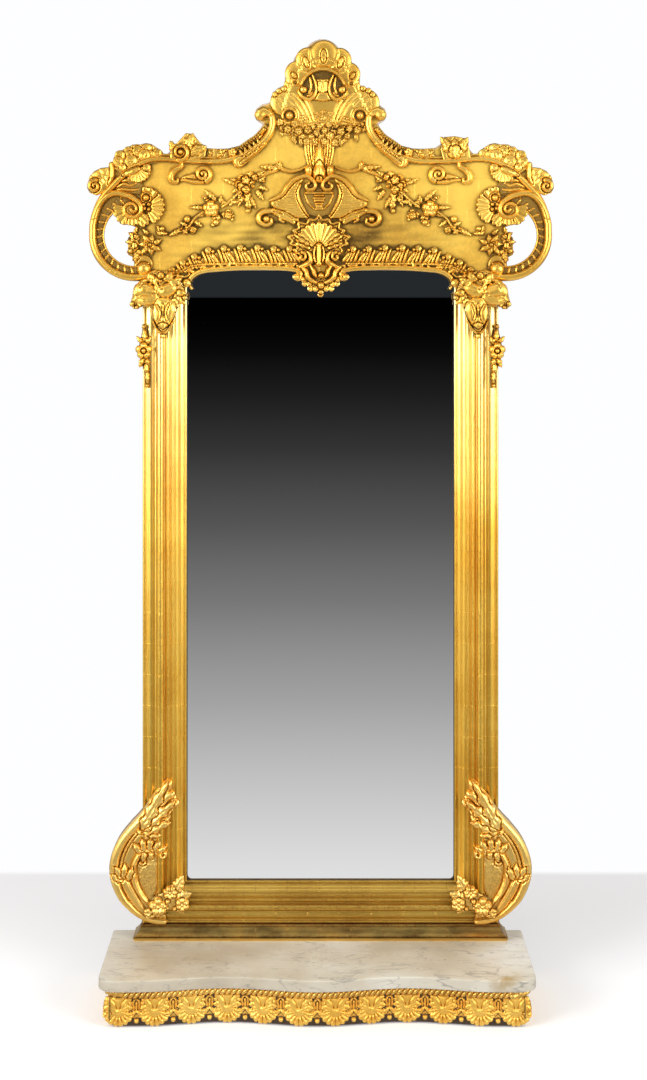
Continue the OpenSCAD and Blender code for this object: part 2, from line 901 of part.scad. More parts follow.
// Leaf capital with a bell drop over the head of each stile
module capital() {
  cx = -sx - 60;
  color(gilt)
    union() {
      translate([-sx - 90, wall_y - frame_d - 6 - seat, shoulder_z + seat])
        cube([74, frame_d + 6 - board_front, 24]);
      elevation(frame_d + seat, crest_z)
        difference() {
          union() {
            translate([-sx - 112, -92, 0])
              linear_extrude(6)
                polygon([[0, 60], [10, 20], [30, 8], [76, 8], [100, 30], [112, 60], [108, 84], [4, 84]]);
            translate([0, 0, 2]) {
              leaf_at([cx - 8, -20], 128, 44, 34, 20);
              leaf_at([cx + 12, -20], 52, 44, 34, 20);
              leaf_at([cx, -40], 90, 46, 30, 20);
              leaf_at([cx - 30, -36], 205, 66, 32, 16);
              leaf_at([cx - 20, -56], 225, 62, 28, 14);
              leaf_at([cx + 26, -36], 330, 48, 34, 14);
              leaf_at([cx + 16, -60], 300, 40, 26, 12);
              leaf_at([cx, -86], 270, 88, 66, 18);
            }
            half_ball([cx - 38, -24], 18);
            half_ball([cx + 26, -16], 18);
            half_ball([cx, -172], 7);
          }
          translate([-sx + 12, -100, -1])
            cube([60, 200, 80]);
        }
    }
}

// Sprig of flowers that hangs on the side strip
module side_drop() {
  color(gilt)
    elevation(strip_d + seat, crest_z)
      union() {
        flower_at([-fx + 4, -210], 20, relief_h - 2);
        leaf_at([-fx + 12, -176], 90, 36, 24, relief_h - 3);
        leaf_at([-fx + 12, -190], 60, 26, 18, relief_h - 3);
        leaf_at([-fx + 14, -220], 275, 52, 22, relief_h - 3);
        leaf_at([-fx + 14, -262], 268, 42, 24, relief_h - 3);
        half_ball([-fx + 18, -172], 9);
      }
}

bracket_c = [-fx + 34, 160];

// Scroll bracket that leans on the foot of the frame
module bracket() {
  rim_r = 112;
  inner_c = [-fx + 48, 128];
  inner_r = 74;
  plate_d = 12;
  color(gilt)
    union() {
      elevation(26, foot_top)
        intersection() {
          bracket_outline(strip_d + 12 - 26);
          translate([-fx - 200 - seat, -100, -1])
            cube([200, 800, 200]);
        }
      elevation(strip_d + seat, foot_top)
        intersection() {
          bracket_outline(plate_d);
          translate([-fx - 200, -100, -1])
            cube([200 + strip_w - 4, 800, 200]);
        }
      elevation(strip_d + plate_d, foot_top) {
        half_ring(bracket_c, rim_r, 122, 262, rim_t + 1);
        half_ring(inner_c, inner_r, 128, 222, 6);
        half_ring(next_centre(inner_c, inner_r, 19, 128), 19, -30, 128, 6);
        half_ring([-fx + 14, 232], 17, 180, 350, 6);
        half_ring(bracket_c, rim_r - 22, 126, 200, 4);
        leaf_at([-fx - 4, 186], 62, 56, 34, 12);
        leaf_at([-fx - 16, 182], 104, 52, 30, 12);
        leaf_at([-fx - 10, 150], 262, 92, 30, 12);
        leaf_at([-fx - 48, 146], 300, 84, 26, 10);
        leaf_at([-fx - 46, 144], 130, 34, 24, 10);
      }
      elevation(frame_d + 2, foot_top) {
        leaf_at([-fx + 4, 262], 50, 130, 44, 16);
        leaf_at([-fx - 4, 262], 28, 104, 30, 12);
        leaf_at([-fx + 24, 290], 66, 96, 34, 14);
        leaf_at([-fx - 12, 262], 62, 72, 30, 12);
        leaf_at([-fx + 24, 276], 10, 62, 24, 10);
      }
      elevation(strip_d + 6, foot_top)
        intersection() {
          translate([-fx + 10, 272, 0])
            cylinder(r = 24, h = frame_d - strip_d + 4);
          translate([-fx - 60, 200, 0])
            cube([60 + strip_w - 5, 120, 40]);
        }
    }
}

// Flat outline of the bracket
module bracket_outline(t) {
  linear_extrude(t)
    union() {
      difference() {
        translate(bracket_c)
          circle(r = 124, $fn = 96);
        translate([-fx + 80, 0])
          square([400, 500]);
        translate([-fx - 200, -60])
          square([600, 62]);
      }
      polygon([[-fx - 20, 262], [-fx + 8, 330], [-fx + strip_w, 330], [-fx + strip_w, 200]]);
    }
}

module bracket_flowers() {
  spots = [
    [-fx + 38, 68, 24], [-fx + 20, 44, 20], [-fx + 66, 96, 24], [-fx + 98, 66, 20], [-fx + 52, 34, 18]
  ];
  color(gilt)
    elevation(strip_d + 12 + rim_t + 1 + seat, foot_top)
      union() {
        linear_extrude(3)
          polygon([[-fx + 20, 40], [-fx + 40, 30], [-fx + 108, 62], [-fx + 84, 104], [-fx + 40, 84]]);
        for (s = spots)
          flower_at([s[0], s[1]], s[2], relief_h + 2);
        leaf_at([-fx + 84, 96], 48, 58, 30, relief_h);
        leaf_at([-fx + 96, 80], 15, 48, 26, relief_h - 2);
        leaf_at([-fx + 90, 100], 76, 42, 22, relief_h - 2);
      }
}

// Outline of the slab front at a distance inside the edge
function wave(x) = wave_d / 2 * (1 - cos(360 * min(abs(x), slab_w / 2 - 90) / (slab_w / 2 - 90)));
function front_edge(inset) = [
  for (i = [-24:24])
    [i * (slab_w / 2 - 44) / 24, -slab_d / 2 + inset + wave(i * (slab_w / 2 - 44) / 24)]
];

module slab_shape(inset) {
  hx = slab_w / 2 - inset;
  corner_r = 40;
  union() {
    polygon(concat(
      [[-hx + corner_r, slab_d / 2]],
      front_edge(inset),
      [[hx - corner_r, slab_d / 2]]
    ));
    for (s = [-1, 1]) {
      translate([s * (hx - corner_r), -slab_d / 2 + inset + corner_r])
        circle(r = corner_r);
      translate([s > 0 ? hx - corner_r - 6 : -hx, -slab_d / 2 + inset + corner_r])
        square([corner_r + 6, slab_d - inset - corner_r]);
    }
  }
}

module marble_slab() {
  color(marble_tone)
    translate([slab_shift, 0, slab_z])
      linear_extrude(slab_t)
        slab_shape(0);
}

// Rail of the low base that follows the slab front, with its two round corners
module base_front_rail() {
  cut_y = -slab_d / 2 + 92;
  color(gilt_dark)
    translate([slab_shift, 0, rail_z])
      linear_extrude(slab_z - rail_z)
        difference() {
          slab_shape(26);
          slab_shape(46);
          translate([-slab_w, cut_y])
            square([2 * slab_w, slab_d]);
        }
}

// Straight rails of the two ends
module base_end_rails() {
  cut_y = -slab_d / 2 + 92;
  color(gilt_dark)
    for (s = [-1, 1])
      translate([slab_shift + s * (slab_w / 2 - 36) - 10, cut_y, rail_z])
        cube([20, slab_d / 2 - cut_y, slab_z - rail_z]);
}

module base_back_rail() {
  w = slab_w - 92 - 2 * seat;
  color(bare_wood)
    translate([slab_shift - w / 2, slab_d / 2 - 20, rail_z])
      cube([w, 20, slab_z - rail_z]);
}

// Corner blocks that carry the slab and stand on the floor
module base_blocks() {
  x = slab_w / 2 - 46 - seat;
  color(bare_wood)
    translate([slab_shift, 0, 0])
      for (s = [-1, 1]) {
        translate([s > 0 ? x - 64 : -x, -slab_d / 2 + 88, 0])
          cube([64, 64, slab_z]);
        translate([s > 0 ? x - 64 : -x, slab_d / 2 - 84, 0])
          cube([64, 64 - seat, slab_z]);
      }
}

// Rope moulding round the front and the two ends
module rope_moulding() {
  color(gilt)
    translate([slab_shift, 0, apron_h])
      difference() {
        union() {
          linear_extrude(rope_h)
            slab_shape(12);
          translate([0, 0, rope_h / 4])
            linear_extrude(rope_h / 2)
              slab_shape(9);
        }
        translate([0, 0, -1])
          linear_extrude(rope_h + 2)
            slab_shape(26 - seat);
      }
}

// Shells of the apron with a husk between each pair, fitted to the curve of the rail
module apron_shells() {
  pitch = (slab_w - 100) / (shell_count - 1);
  ends = 4;
  side_pitch = (slab_d - 100) / (ends - 1);
  color(gilt)
    translate([slab_shift, 0, 0])
      difference() {
        union() {
          for (i = [0:shell_count - 1])
            front_shell(-slab_w / 2 + 50 + i * pitch, i < shell_count - 1 ? pitch : 0);
          for (s = [-1, 1])
            for (i = [0:ends - 1])
              translate([s * (slab_w / 2 - 30), slab_d / 2 - 46 - i * side_pitch, 0])
                rotate([90, 0, s * 90])
                  shell_drop();
        }
        translate([0, 0, -1])
          linear_extrude(slab_z + 2)
            slab_shape(26 - seat);
      }
}

// One shell of the front, turned to the slope of the curve, and the husk beside it
module front_shell(x, pitch) {
  slope = atan2(wave(x + 1) - wave(x - 1), 2);
  translate([x, -slab_d / 2 + 30 + wave(x), 0])
    rotate([90, 0, slope])
      shell_drop();
  if (pitch > 0)
    translate([x + pitch / 2, -slab_d / 2 + 30 + wave(x + pitch / 2), 0])
      rotate([90, 0, slope])
        husk();
}

module husk() {
  linear_extrude(10)
    polygon([[-12, 10], [12, 10], [6, 26], [7, apron_h - 8], [-7, apron_h - 8], [-6, 26]]);
  half_ball([0, 14], 12);
}

module shell_drop() {
  translate([0, apron_h - 5, 0])
    fan(apron_h - 7, 190, 350, 5, 11, 17, 0.68);
}

// Iron plates screwed to the back of the top rail, each with a hole for a wall hook
module wall_plates() {
  color(iron)
    for (s = [-1, 1])
      difference() {
        translate([s * hook_x - 20, wall_y - 3, post_top - 30])
          cube([40, 3, 70]);
        translate([s * hook_x, wall_y + 1, post_top + 24])
          rotate([90, 0, 0])
            cylinder(r = 4, h = 6);
        for (u = [-1, 1])
          translate([s * hook_x + u * 10, wall_y + 1, post_top - 15]) {
            rotate([90, 0, 0])
              cylinder(r = 2 + seat / 2, h = 6);
            rotate([90, 0, 0])
              cylinder(r = 4 + seat / 2, h = 2.3);
          }
      }
}

module plate_screws() {
  color(iron)
    for (s = [-1, 1])
      for (u = [-1, 1])
        translate([s * hook_x + u * 10, wall_y, post_top - 15])
          rotate([90, 0, 0])
            union() {
              cylinder(r = 4, h = 1.2);
              cylinder(r = 2, h = 18);
            }
}

mirror_plate();
back_boards();
glazing_blocks();
stile();  // left_stile
right_hand() stile();  // right_stile
side_strip();  // left_side_strip
right_hand() side_strip();  // right_side_strip
bottom_rail();
top_rail();
foot_moulding();
crest_board();
crest_battens();
c_scroll();  // left_c_scroll
right_hand() c_scroll();  // right_c_scroll
top_scroll();  // left_top_scroll
right_hand() top_scroll();  // right_top_scroll
ear_leaf();  // left_ear_leaf
right_hand() ear_leaf();  // right_ear_leaf
scale_ruffle();  // left_scale_ruffle
right_hand() scale_ruffle();  // right_scale_ruffle
corner_shell();  // left_corner_shell
right_hand() corner_shell();  // right_corner_shell
rose();  // left_rose
right_hand() bud();  // right_bud
small_shells();
hanging_scroll();  // left_hanging_scroll
right_hand() hanging_scroll();  // right_hanging_scroll
garland();  // left_garland
right_hand() garland();  // right_garland
corner_flowers();  // left_corner_flowers
right_hand() corner_flowers();  // right_corner_flowers
crest_shell();
shell_cartouche();
flower_band();
fringe();
tulip_bud();
lyre_cartouche();
palmette();
pendant();
pleated_band();  // left_pleated_band
right_hand() pleated_band();  // right_pleated_band
sight_bead();  // left_sight_bead
right_hand() sight_bead();  // right_sight_bead
capital();  // left_capital
right_hand() capital();  // right_capital
side_drop();  // left_side_drop
right_hand() side_drop();  // right_side_drop
bracket();  // left_bracket
right_hand() bracket();  // right_bracket
bracket_flowers();  // left_bracket_flowers
right_hand() bracket_flowers();  // right_bracket_flowers
marble_slab();
base_front_rail();
base_end_rails();
base_back_rail();
base_blocks();
rope_moulding();
apron_shells();
wall_plates();
plate_screws();
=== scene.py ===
import json
import math

import bmesh
import bpy
import numpy as np
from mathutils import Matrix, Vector

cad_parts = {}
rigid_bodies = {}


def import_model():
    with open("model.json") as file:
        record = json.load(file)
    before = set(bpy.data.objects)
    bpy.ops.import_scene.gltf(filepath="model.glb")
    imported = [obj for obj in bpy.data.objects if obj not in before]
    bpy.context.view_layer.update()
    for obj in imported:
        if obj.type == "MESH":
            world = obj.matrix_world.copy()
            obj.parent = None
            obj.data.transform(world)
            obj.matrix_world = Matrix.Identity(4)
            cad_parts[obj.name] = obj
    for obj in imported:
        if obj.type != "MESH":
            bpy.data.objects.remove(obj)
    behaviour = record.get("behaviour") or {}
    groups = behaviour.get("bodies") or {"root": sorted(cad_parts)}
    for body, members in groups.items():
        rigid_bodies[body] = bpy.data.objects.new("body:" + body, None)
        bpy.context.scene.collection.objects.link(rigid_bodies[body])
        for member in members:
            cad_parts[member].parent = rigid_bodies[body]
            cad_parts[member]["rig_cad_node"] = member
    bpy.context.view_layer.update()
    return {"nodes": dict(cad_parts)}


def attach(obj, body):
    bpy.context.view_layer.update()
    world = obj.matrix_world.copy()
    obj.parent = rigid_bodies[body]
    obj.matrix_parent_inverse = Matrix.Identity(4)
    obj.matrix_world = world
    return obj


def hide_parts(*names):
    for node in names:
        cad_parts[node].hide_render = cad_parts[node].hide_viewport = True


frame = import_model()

nodes = frame["nodes"]
scene = bpy.context.scene

# ---------------------------------------------------------------------------
# The view. A tall pier mirror is seen straight on, from the height of its upper
# third, with a lens long enough to keep the uprights parallel.
PHOTO_W, PHOTO_H = 647, 1080
HORIZON_FROM_TOP, AXIS_FROM_LEFT = 300, 320.5
EYE_DISTANCE, EYE_HEIGHT, LENS = 4.370, 1.788, 57.3
camera = bpy.data.objects.new("camera", bpy.data.cameras.new("camera"))
camera.location = (0, -EYE_DISTANCE, EYE_HEIGHT)
camera.rotation_euler = (math.radians(90), 0, 0)
camera.data.lens = LENS
camera.data.shift_x = (PHOTO_W / 2 - AXIS_FROM_LEFT) / PHOTO_H
camera.data.shift_y = (HORIZON_FROM_TOP - PHOTO_H / 2) / PHOTO_H
camera.data.clip_end = 60
scene.collection.objects.link(camera)
scene.camera = camera
scene.view_settings.view_transform = "Standard"
scene.view_settings.look = "None"


# ---------------------------------------------------------------------------
# The studio: a white floor and a pale room. Straight in front of the mirror the
# room falls away into the dark, which is what the plate shows.
def put(tree, kind, inputs=(), **settings):
    """Adds a node, sets its properties, and fills or joins its inputs."""
    node = tree.nodes.new(kind)
    for key, value in settings.items():
        setattr(node, key, value)
    for key, value in dict(inputs).items():
        if isinstance(value, bpy.types.NodeSocket):
            tree.links.new(value, node.inputs[key])
        else:
            node.inputs[key].default_value = value
    return node


def maths(tree, operation, a, b=0.0, c=0.0):
    return put(tree, "ShaderNodeMath", {0: a, 1: b, 2: c}, operation=operation).outputs[0]


def times(tree, a, b):
    return maths(tree, "MULTIPLY", a, b)


def between(tree, value, low, high, to_low=0.0, to_high=1.0):
    """Takes a value from one range to another, and stops at the ends."""
    inputs = {"Value": value, "From Min": low, "From Max": high, "To Min": to_low, "To Max": to_high}
    return put(tree, "ShaderNodeMapRange", inputs).outputs["Result"]


def ramp(tree, value, stops):
    node = put(tree, "ShaderNodeValToRGB", {"Fac": value})
    elements = node.color_ramp.elements
    while len(elements) < len(stops):
        elements.new(0.5)
    for element, (place, colour) in zip(elements, stops):
        element.position = place
        element.color = (*colour, 1)
    return node.outputs["Color"]


def grey(level):
    return (level, level, level)


def up(degrees):
    """Place on a ramp that runs from straight down to straight up."""
    return 0.5 + 0.5 * math.sin(math.radians(degrees))


def grey_room(tree, height, *stops):
    """How light a side of the room is, at so many degrees above the horizon."""
    return ramp(tree, height, [(up(degrees), grey(level)) for degrees, level in stops])


def wrap(value):
    """A colour's three parts as a socket takes them. A number or a socket stays as it is."""
    return (*value, 1.0) if isinstance(value, tuple) else value


def blend_colour(tree, factor, a, b, mode="MIX"):
    inputs = {"Factor": factor, 6: wrap(a), 7: wrap(b)}
    return put(tree, "ShaderNodeMix", inputs, data_type="RGBA", blend_type=mode).outputs[2]


def object_place(tree):
    return put(tree, "ShaderNodeTexCoord").outputs["Object"]


def place_along(tree, axis):
    return put(tree, "ShaderNodeSeparateXYZ", {0: object_place(tree)}).outputs[axis]


world = bpy.data.worlds.new("studio")
world.use_nodes = True
scene.world = world
sky = world.node_tree
sky.nodes.clear()
direction = put(sky, "ShaderNodeTexCoord").outputs["Generated"]
parts = put(sky, "ShaderNodeSeparateXYZ", {0: direction})
height = maths(sky, "MULTIPLY_ADD", parts.outputs["Z"], 0.5, 0.5)
slate = (0.0194, 0.0222, 0.0242)
doorway_low = grey_room(sky, height, (-90, 0.80), (-24, 0.80), (-18.5, 0.76), (-13.1, 0.37), (-9.9, 0.188),
                        (-7.45, 0.092), (-5, 0.035), (-3.33, 0.0135), (-1.67, 0.0026), (-0.5, 0.0003))
doorway_high = ramp(sky, height, [(up(14), slate), (up(28), grey(0.10)), (1.0, grey(0.15))])
doorway = blend_colour(sky, between(sky, parts.outputs["Z"], 0.0010, 0.0020), doorway_low, doorway_high)
room_ahead = grey_room(sky, height, (-90, 0.95), (-48, 0.85), (-30, 0.34), (-17, 0.09), (-11, 0.09),
                       (-7, 0.12), (-3.5, 0.62), (0.5, 0.94), (5, 0.64), (14, 0.90), (26, 0.90), (42, 0.35),
                       (90, 0.15))
room_beside = grey_room(sky, height, (-90, 0.80), (-30, 0.62), (-10, 0.52), (2, 0.85), (14, 1.0),
                        (26, 0.90), (42, 0.35), (90, 0.15))
beside = maths(sky, "ABSOLUTE", parts.outputs["X"])
in_front = times(sky, between(sky, beside, 0.085, 0.105, 1.0, 0.0),
                 between(sky, parts.outputs["Y"], -0.5, -0.3, 1.0, 0.0))
room = blend_colour(sky, between(sky, beside, 0.55, 0.85), room_ahead, room_beside)
mirrored_room = blend_colour(sky, in_front, room, doorway)
WHITE_PAPER = (0.985, 0.99, 1.0)
seen = put(sky, "ShaderNodeBackground", {"Color": wrap(WHITE_PAPER), "Strength": 1.0})
lit = put(sky, "ShaderNodeBackground", {"Color": (1.0, 0.985, 0.96, 1), "Strength": 0.45})
glossy = put(sky, "ShaderNodeBackground", {"Color": mirrored_room, "Strength": 1.0})
ray = put(sky, "ShaderNodeLightPath")
soft = put(sky, "ShaderNodeMixShader",
           {0: ray.outputs["Is Glossy Ray"], 1: lit.outputs[0], 2: glossy.outputs[0]})
whole = put(sky, "ShaderNodeMixShader",
            {0: ray.outputs["Is Camera Ray"], 1: soft.outputs[0], 2: seen.outputs[0]})
put(sky, "ShaderNodeOutputWorld", {"Surface": whole.outputs[0]})

for name, place, aim, size, power in (
    ("key_left", (-3.1, -3.0, 2.3), (0, 0, 1.4), (2.0, 2.4), 112),
    ("key_right", (3.2, -2.9, 2.1), (0, 0, 1.4), (2.0, 2.4), 89),
    ("top_box", (0.0, -1.4, 4.4), (0, 0, 1.9), (3.0, 0.8), 14),
    ("tall_left", (-2.9, -1.1, 1.95), (-0.3, 0, 1.85), (0.5, 1.3), 27),
    ("tall_right", (2.9, -1.1, 1.95), (0.3, 0, 1.85), (0.5, 1.3), 19),
):
    light = bpy.data.objects.new(name, bpy.data.lights.new(name, "AREA"))
    light.data.shape = "RECTANGLE"
    light.data.size, light.data.size_y = size
    light.data.energy = power
    light.location = place
    to_aim = [a - p for a, p in zip(aim, place)]
    light.rotation_euler = Vector(to_aim).to_track_quat("-Z", "Y").to_euler()
    scene.collection.objects.link(light)


def make_mesh(name, points, faces):
    """A mesh object from points in millimetres."""
    mesh = bpy.data.meshes.new(name)
    mesh.from_pydata([tuple(0.001 * c for c in p) for p in points], [], [tuple(f) for f in faces])
    piece = bpy.data.objects.new(name, mesh)
    scene.collection.objects.link(piece)
    return piece


def plain_material(name, colour, roughness, metallic=0.0):
    material = bpy.data.materials.new(name)
    material.use_nodes = True
    shader = material.node_tree.nodes["Principled BSDF"]
    shader.inputs["Base Color"].default_value = (*colour, 1)
    shader.inputs["Roughness"].default_value = roughness
    shader.inputs["Metallic"].default_value = metallic
    return material, shader


FLOOR_HALF, BACKDROP_Y, BACKDROP_BLUR = 9000, 0.993, 0.02
FLOOR_PAINT = (0.90, 0.90, 0.905)
floor = make_mesh("studio_floor",
                  [(FLOOR_HALF * x, FLOOR_HALF * y, 0) for x, y in ((-1, -1), (1, -1), (1, 1), (-1, 1))],
                  [(0, 1, 2, 3)])
floor_paint, floor_shader = plain_material("floor_paint", FLOOR_PAINT, 0.6)
tree = floor_paint.node_tree
beyond = between(tree, place_along(tree, "Y"), BACKDROP_Y - BACKDROP_BLUR, BACKDROP_Y + BACKDROP_BLUR)
for socket, near_floor, backdrop in (("Base Color", FLOOR_PAINT, grey(0.0)),
                                     ("Emission Color", (0.17, 0.17, 0.175), WHITE_PAPER)):
    tree.links.new(ramp(tree, beyond, [(0.0, near_floor), (1.0, backdrop)]), floor_shader.inputs[socket])
floor_shader.inputs["Emission Strength"].default_value = 1.0
floor_shader.inputs["Specular IOR Level"].default_value = 0.0
floor.data.materials.append(floor_paint)
floor.visible_glossy = False


# ---------------------------------------------------------------------------
# The plate: silvered glass, five millimetres thick, with faint foxing near its
# foot. It is held in the rebate of the frame by small glued blocks.
def noise(tree, place, scale, detail=3.0, roughness=0.55, output="Fac"):
    inputs = {"Vector": place, "Scale": scale, "Detail": detail, "Roughness": roughness}
    return put(tree, "ShaderNodeTexNoise", inputs).outputs[output]


def dress(piece, material, slot=None, *replaced):
    """Gives a piece or a node its finish, and ties a piece to the nodes that it stands for."""
    piece.data.materials.clear()
    piece.data.materials.append(material)
    if "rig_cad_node" not in piece:
        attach(piece, "root")
        if replaced:
            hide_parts(*replaced)


silvering, silvering_shader = plain_material("silvered_glass", (0.97, 0.975, 0.975), 0.0, 1.0)
tree = silvering.node_tree
foxing = between(tree, noise(tree, object_place(tree), 38, 5, 0.7), 0.66, 0.80, 0.0, 0.16)
tree.links.new(foxing, silvering_shader.inputs["Roughness"])
dress(nodes["mirror_plate"], silvering)

# ---------------------------------------------------------------------------
# The hidden carcase: planks behind the plate, blocks in the rebate, and the rail
# and battens behind the crest. Bare pine, brown with age, and left off the plane.
def make_group(name, inputs):
    """A shader effect with named inputs, which gives a colour, a roughness and a normal."""
    group = bpy.data.node_groups.new(name, "ShaderNodeTree")
    for label, value in inputs.items():
        kind = "NodeSocketColor" if isinstance(value, tuple) else "NodeSocketFloat"
        group.interface.new_socket(label, in_out="INPUT", socket_type=kind).default_value = wrap(value)
    for label, kind in (("Color", "NodeSocketColor"), ("Roughness", "NodeSocketFloat"),
                        ("Normal", "NodeSocketVector")):
        group.interface.new_socket(label, in_out="OUTPUT", socket_type=kind)
    return group, put(group, "NodeGroupInput").outputs, put(group, "NodeGroupOutput").inputs


def finish_with(name, base, roughness, metallic, group, values):
    """A material whose colour, roughness and normal come from a group with these values."""
    material, shader = plain_material(name, base, roughness, metallic)
    effect = put(material.node_tree, "ShaderNodeGroup", node_tree=group)
    for label, value in values.items():
        effect.inputs[label].default_value = wrap(value)
    for output, target in (("Color", "Base Color"), ("Roughness", "Roughness"), ("Normal", "Normal")):
        material.node_tree.links.new(effect.outputs[output], shader.inputs[target])
    return material


def scaled(tree, place, *scale):
    return put(tree, "ShaderNodeMapping", {"Vector": place, "Scale": scale}).outputs[0]


def bumps(tree, height, strength, distance):
    return put(tree, "ShaderNodeBump",
               {"Height": height, "Strength": strength, "Distance": distance}).outputs[0]


g, given, result = make_group("pine_grain",
                              {"Light": (0.36, 0.22, 0.11), "Dark": (0.12, 0.065, 0.03), "Ring scale": 9.0})
pine_grain = g
place = object_place(g)
stretched = scaled(g, place, 1.0, 6.0, 6.0)
wobble = noise(g, stretched, 1.6, 3, 0.6)
rings = put(g, "ShaderNodeTexWave", {
    "Vector": stretched, "Scale": given["Ring scale"], "Distortion": 5.0, "Detail": 3.0,
    "Detail Scale": 1.2}, bands_direction="Z").outputs["Fac"]
fibres = noise(g, scaled(g, place, 9.0, 160.0, 160.0), 3, 4, 0.7)
age = noise(g, place, 3.5, 5, 0.65)
wood_tone = blend_colour(g, times(g, rings, wobble), given["Light"], given["Dark"])
wood_tone = blend_colour(g, between(g, fibres, 0.35, 0.75, 0.0, 0.55), wood_tone, given["Dark"])
wood_tone = blend_colour(g, between(g, age, 0.45, 0.75, 0.0, 0.6), wood_tone, (0.05, 0.03, 0.018))
relief_height = maths(g, "ADD", times(g, rings, 0.5), fibres)
g.links.new(wood_tone, result["Color"])
g.links.new(between(g, fibres, 0.3, 0.8, 0.62, 0.9), result["Roughness"])
g.links.new(bumps(g, relief_height, 0.5, 0.0008), result["Normal"])


def bare_wood(name, light, dark, ring_scale):
    return finish_with(name, light, 0.8, 0.0, pine_grain,
                       {"Light": light, "Dark": dark, "Ring scale": ring_scale})


plank_pine = bare_wood("plank_pine", (0.33, 0.20, 0.10), (0.11, 0.06, 0.03), 7.0)
batten_pine = bare_wood("batten_pine", (0.40, 0.26, 0.14), (0.15, 0.08, 0.04), 10.0)
for node_name in ("back_boards", "base_back_rail", "base_blocks"):
    dress(nodes[node_name], plank_pine)
for node_name in ("glazing_blocks", "top_rail", "crest_battens"):
    dress(nodes[node_name], batten_pine)

# ---------------------------------------------------------------------------
# The frame: a broad main moulding mitred round the plate on three sides, of pine
# coated with gesso and red bole and laid with square gold leaves that overlap.
WALL = 170
SIGHT_X, SIGHT_Z = 348, 278
SHOULDER_Z = 1835
FACE_W, STRIP_W = 74, 42
LEAF_W, LEAF_H, LAP = 0.083, 0.081, 0.0011
SIDES = (("left", 1), ("right", -1))


def attribute(tree, name):
    return put(tree, "ShaderNodeAttribute", attribute_name=name).outputs["Fac"]


g, given, result = make_group("leaf_gilding", {
    "Leaf": (0.95, 0.60, 0.16), "Deep leaf": (0.66, 0.36, 0.07), "Tarnish": (0.34, 0.17, 0.04),
    "Shade and grime": (0.045, 0.022, 0.008), "Bole": (0.30, 0.07, 0.03), "Age": 0.4, "Wear": 0.3, "Laps": 0.5,
    "Polish": 0.30})
leaf_gilding = g
place = object_place(g)
cloudy = noise(g, place, 4.5, 5, 0.6)
speckle = noise(g, place, 140, 5, 0.65)
scratches = noise(g, scaled(g, place, 1.0, 1.0, 0.12), 60, 4, 0.6)
sides = put(g, "ShaderNodeSeparateXYZ", {0: place})
shaken_x = maths(g, "MULTIPLY_ADD", noise(g, place, 22, 2), 0.006, sides.outputs["X"])
shaken = put(g, "ShaderNodeCombineXYZ", {0: shaken_x, 1: sides.outputs["Z"], 2: 0.0})
leaves = put(g, "ShaderNodeTexBrick", {
    "Vector": shaken.outputs[0], "Scale": 1.0,
    "Color1": wrap(grey(0.35)), "Color2": wrap(grey(0.65)), "Mortar": wrap(grey(1.0)),
    "Mortar Size": LAP, "Mortar Smooth": 0.4, "Brick Width": LEAF_W, "Row Height": LEAF_H}, offset=0.37)
leaf_tone = blend_colour(g, between(g, cloudy, 0.35, 0.68), given["Leaf"], given["Deep leaf"])
each_leaf = times(g, between(g, leaves.outputs["Color"], 0.35, 0.65, 0.0, 0.4), given["Laps"])
leaf_tone = blend_colour(g, each_leaf, leaf_tone, given["Deep leaf"])
lap_line = times(g, leaves.outputs["Fac"], times(g, given["Laps"], 0.75))
leaf_tone = blend_colour(g, lap_line, leaf_tone, given["Tarnish"])
aged = maths(g, "ADD", times(g, cloudy, 0.6), times(g, speckle, 0.4))
leaf_tone = blend_colour(g, times(g, between(g, aged, 0.44, 0.62), given["Age"]), leaf_tone,
                         given["Tarnish"])
rubbed = times(g, between(g, attribute(g, "ridge"), 0.25, 0.9), between(g, speckle, 0.48, 0.62))
leaf_tone = blend_colour(g, times(g, rubbed, given["Wear"]), leaf_tone, given["Bole"])
# Painted shade and grime: the leaf darkens towards a near-black brown in the recesses and round the
# carvings, as the vertex mark gives.
grime_and_shade_mix = times(g, between(g, attribute(g, "painted_shade_and_grime"), 0.06, 0.85), between(g, speckle, 0.2, 0.5, 0.66, 0.86))
leaf_tone = blend_colour(g, grime_and_shade_mix, leaf_tone, given["Shade and grime"])
g.links.new(leaf_tone, result["Color"])
g.links.new(maths(g, "ADD", maths(g, "MULTIPLY_ADD", scratches, 0.14, given["Polish"]),
                  times(g, grime_and_shade_mix, 0.35)), result["Roughness"])
texture_height = maths(g, "ADD", times(g, speckle, 0.5), times(g, leaves.outputs["Fac"], 0.5))
texture_height = maths(g, "ADD", texture_height, times(g, cloudy, 2.0))
g.links.new(bumps(g, texture_height, 0.35, 0.0012), result["Normal"])


def gilt(name, leaf, deep_leaf, age, wear, laps, polish, metal=0.93):
    """A gilded finish: two colours of its leaf, and how aged, rubbed, lapped and dull it is."""
    return finish_with(name, leaf, polish, metal, leaf_gilding, {
        "Leaf": leaf, "Deep leaf": deep_leaf, "Age": age, "Wear": wear, "Laps": laps, "Polish": polish})


gilt_moulding = gilt("gilt_moulding", (1.0, 0.69, 0.14), (0.92, 0.51, 0.05), age=0.18, wear=0.20, laps=0.22,
                     polish=0.26)
gilt_carving = gilt("gilt_carving", (1.0, 0.63, 0.12), (0.88, 0.49, 0.06), age=0.22, wear=0.15, laps=0.15,
                    polish=0.27)


def base_colour(finish):
    """A finish's nodes, its base colour's socket, and what leads to that socket."""
    socket = finish.node_tree.nodes["Principled BSDF"].inputs["Base Color"]
    return finish.node_tree, socket, socket.links[0].from_socket
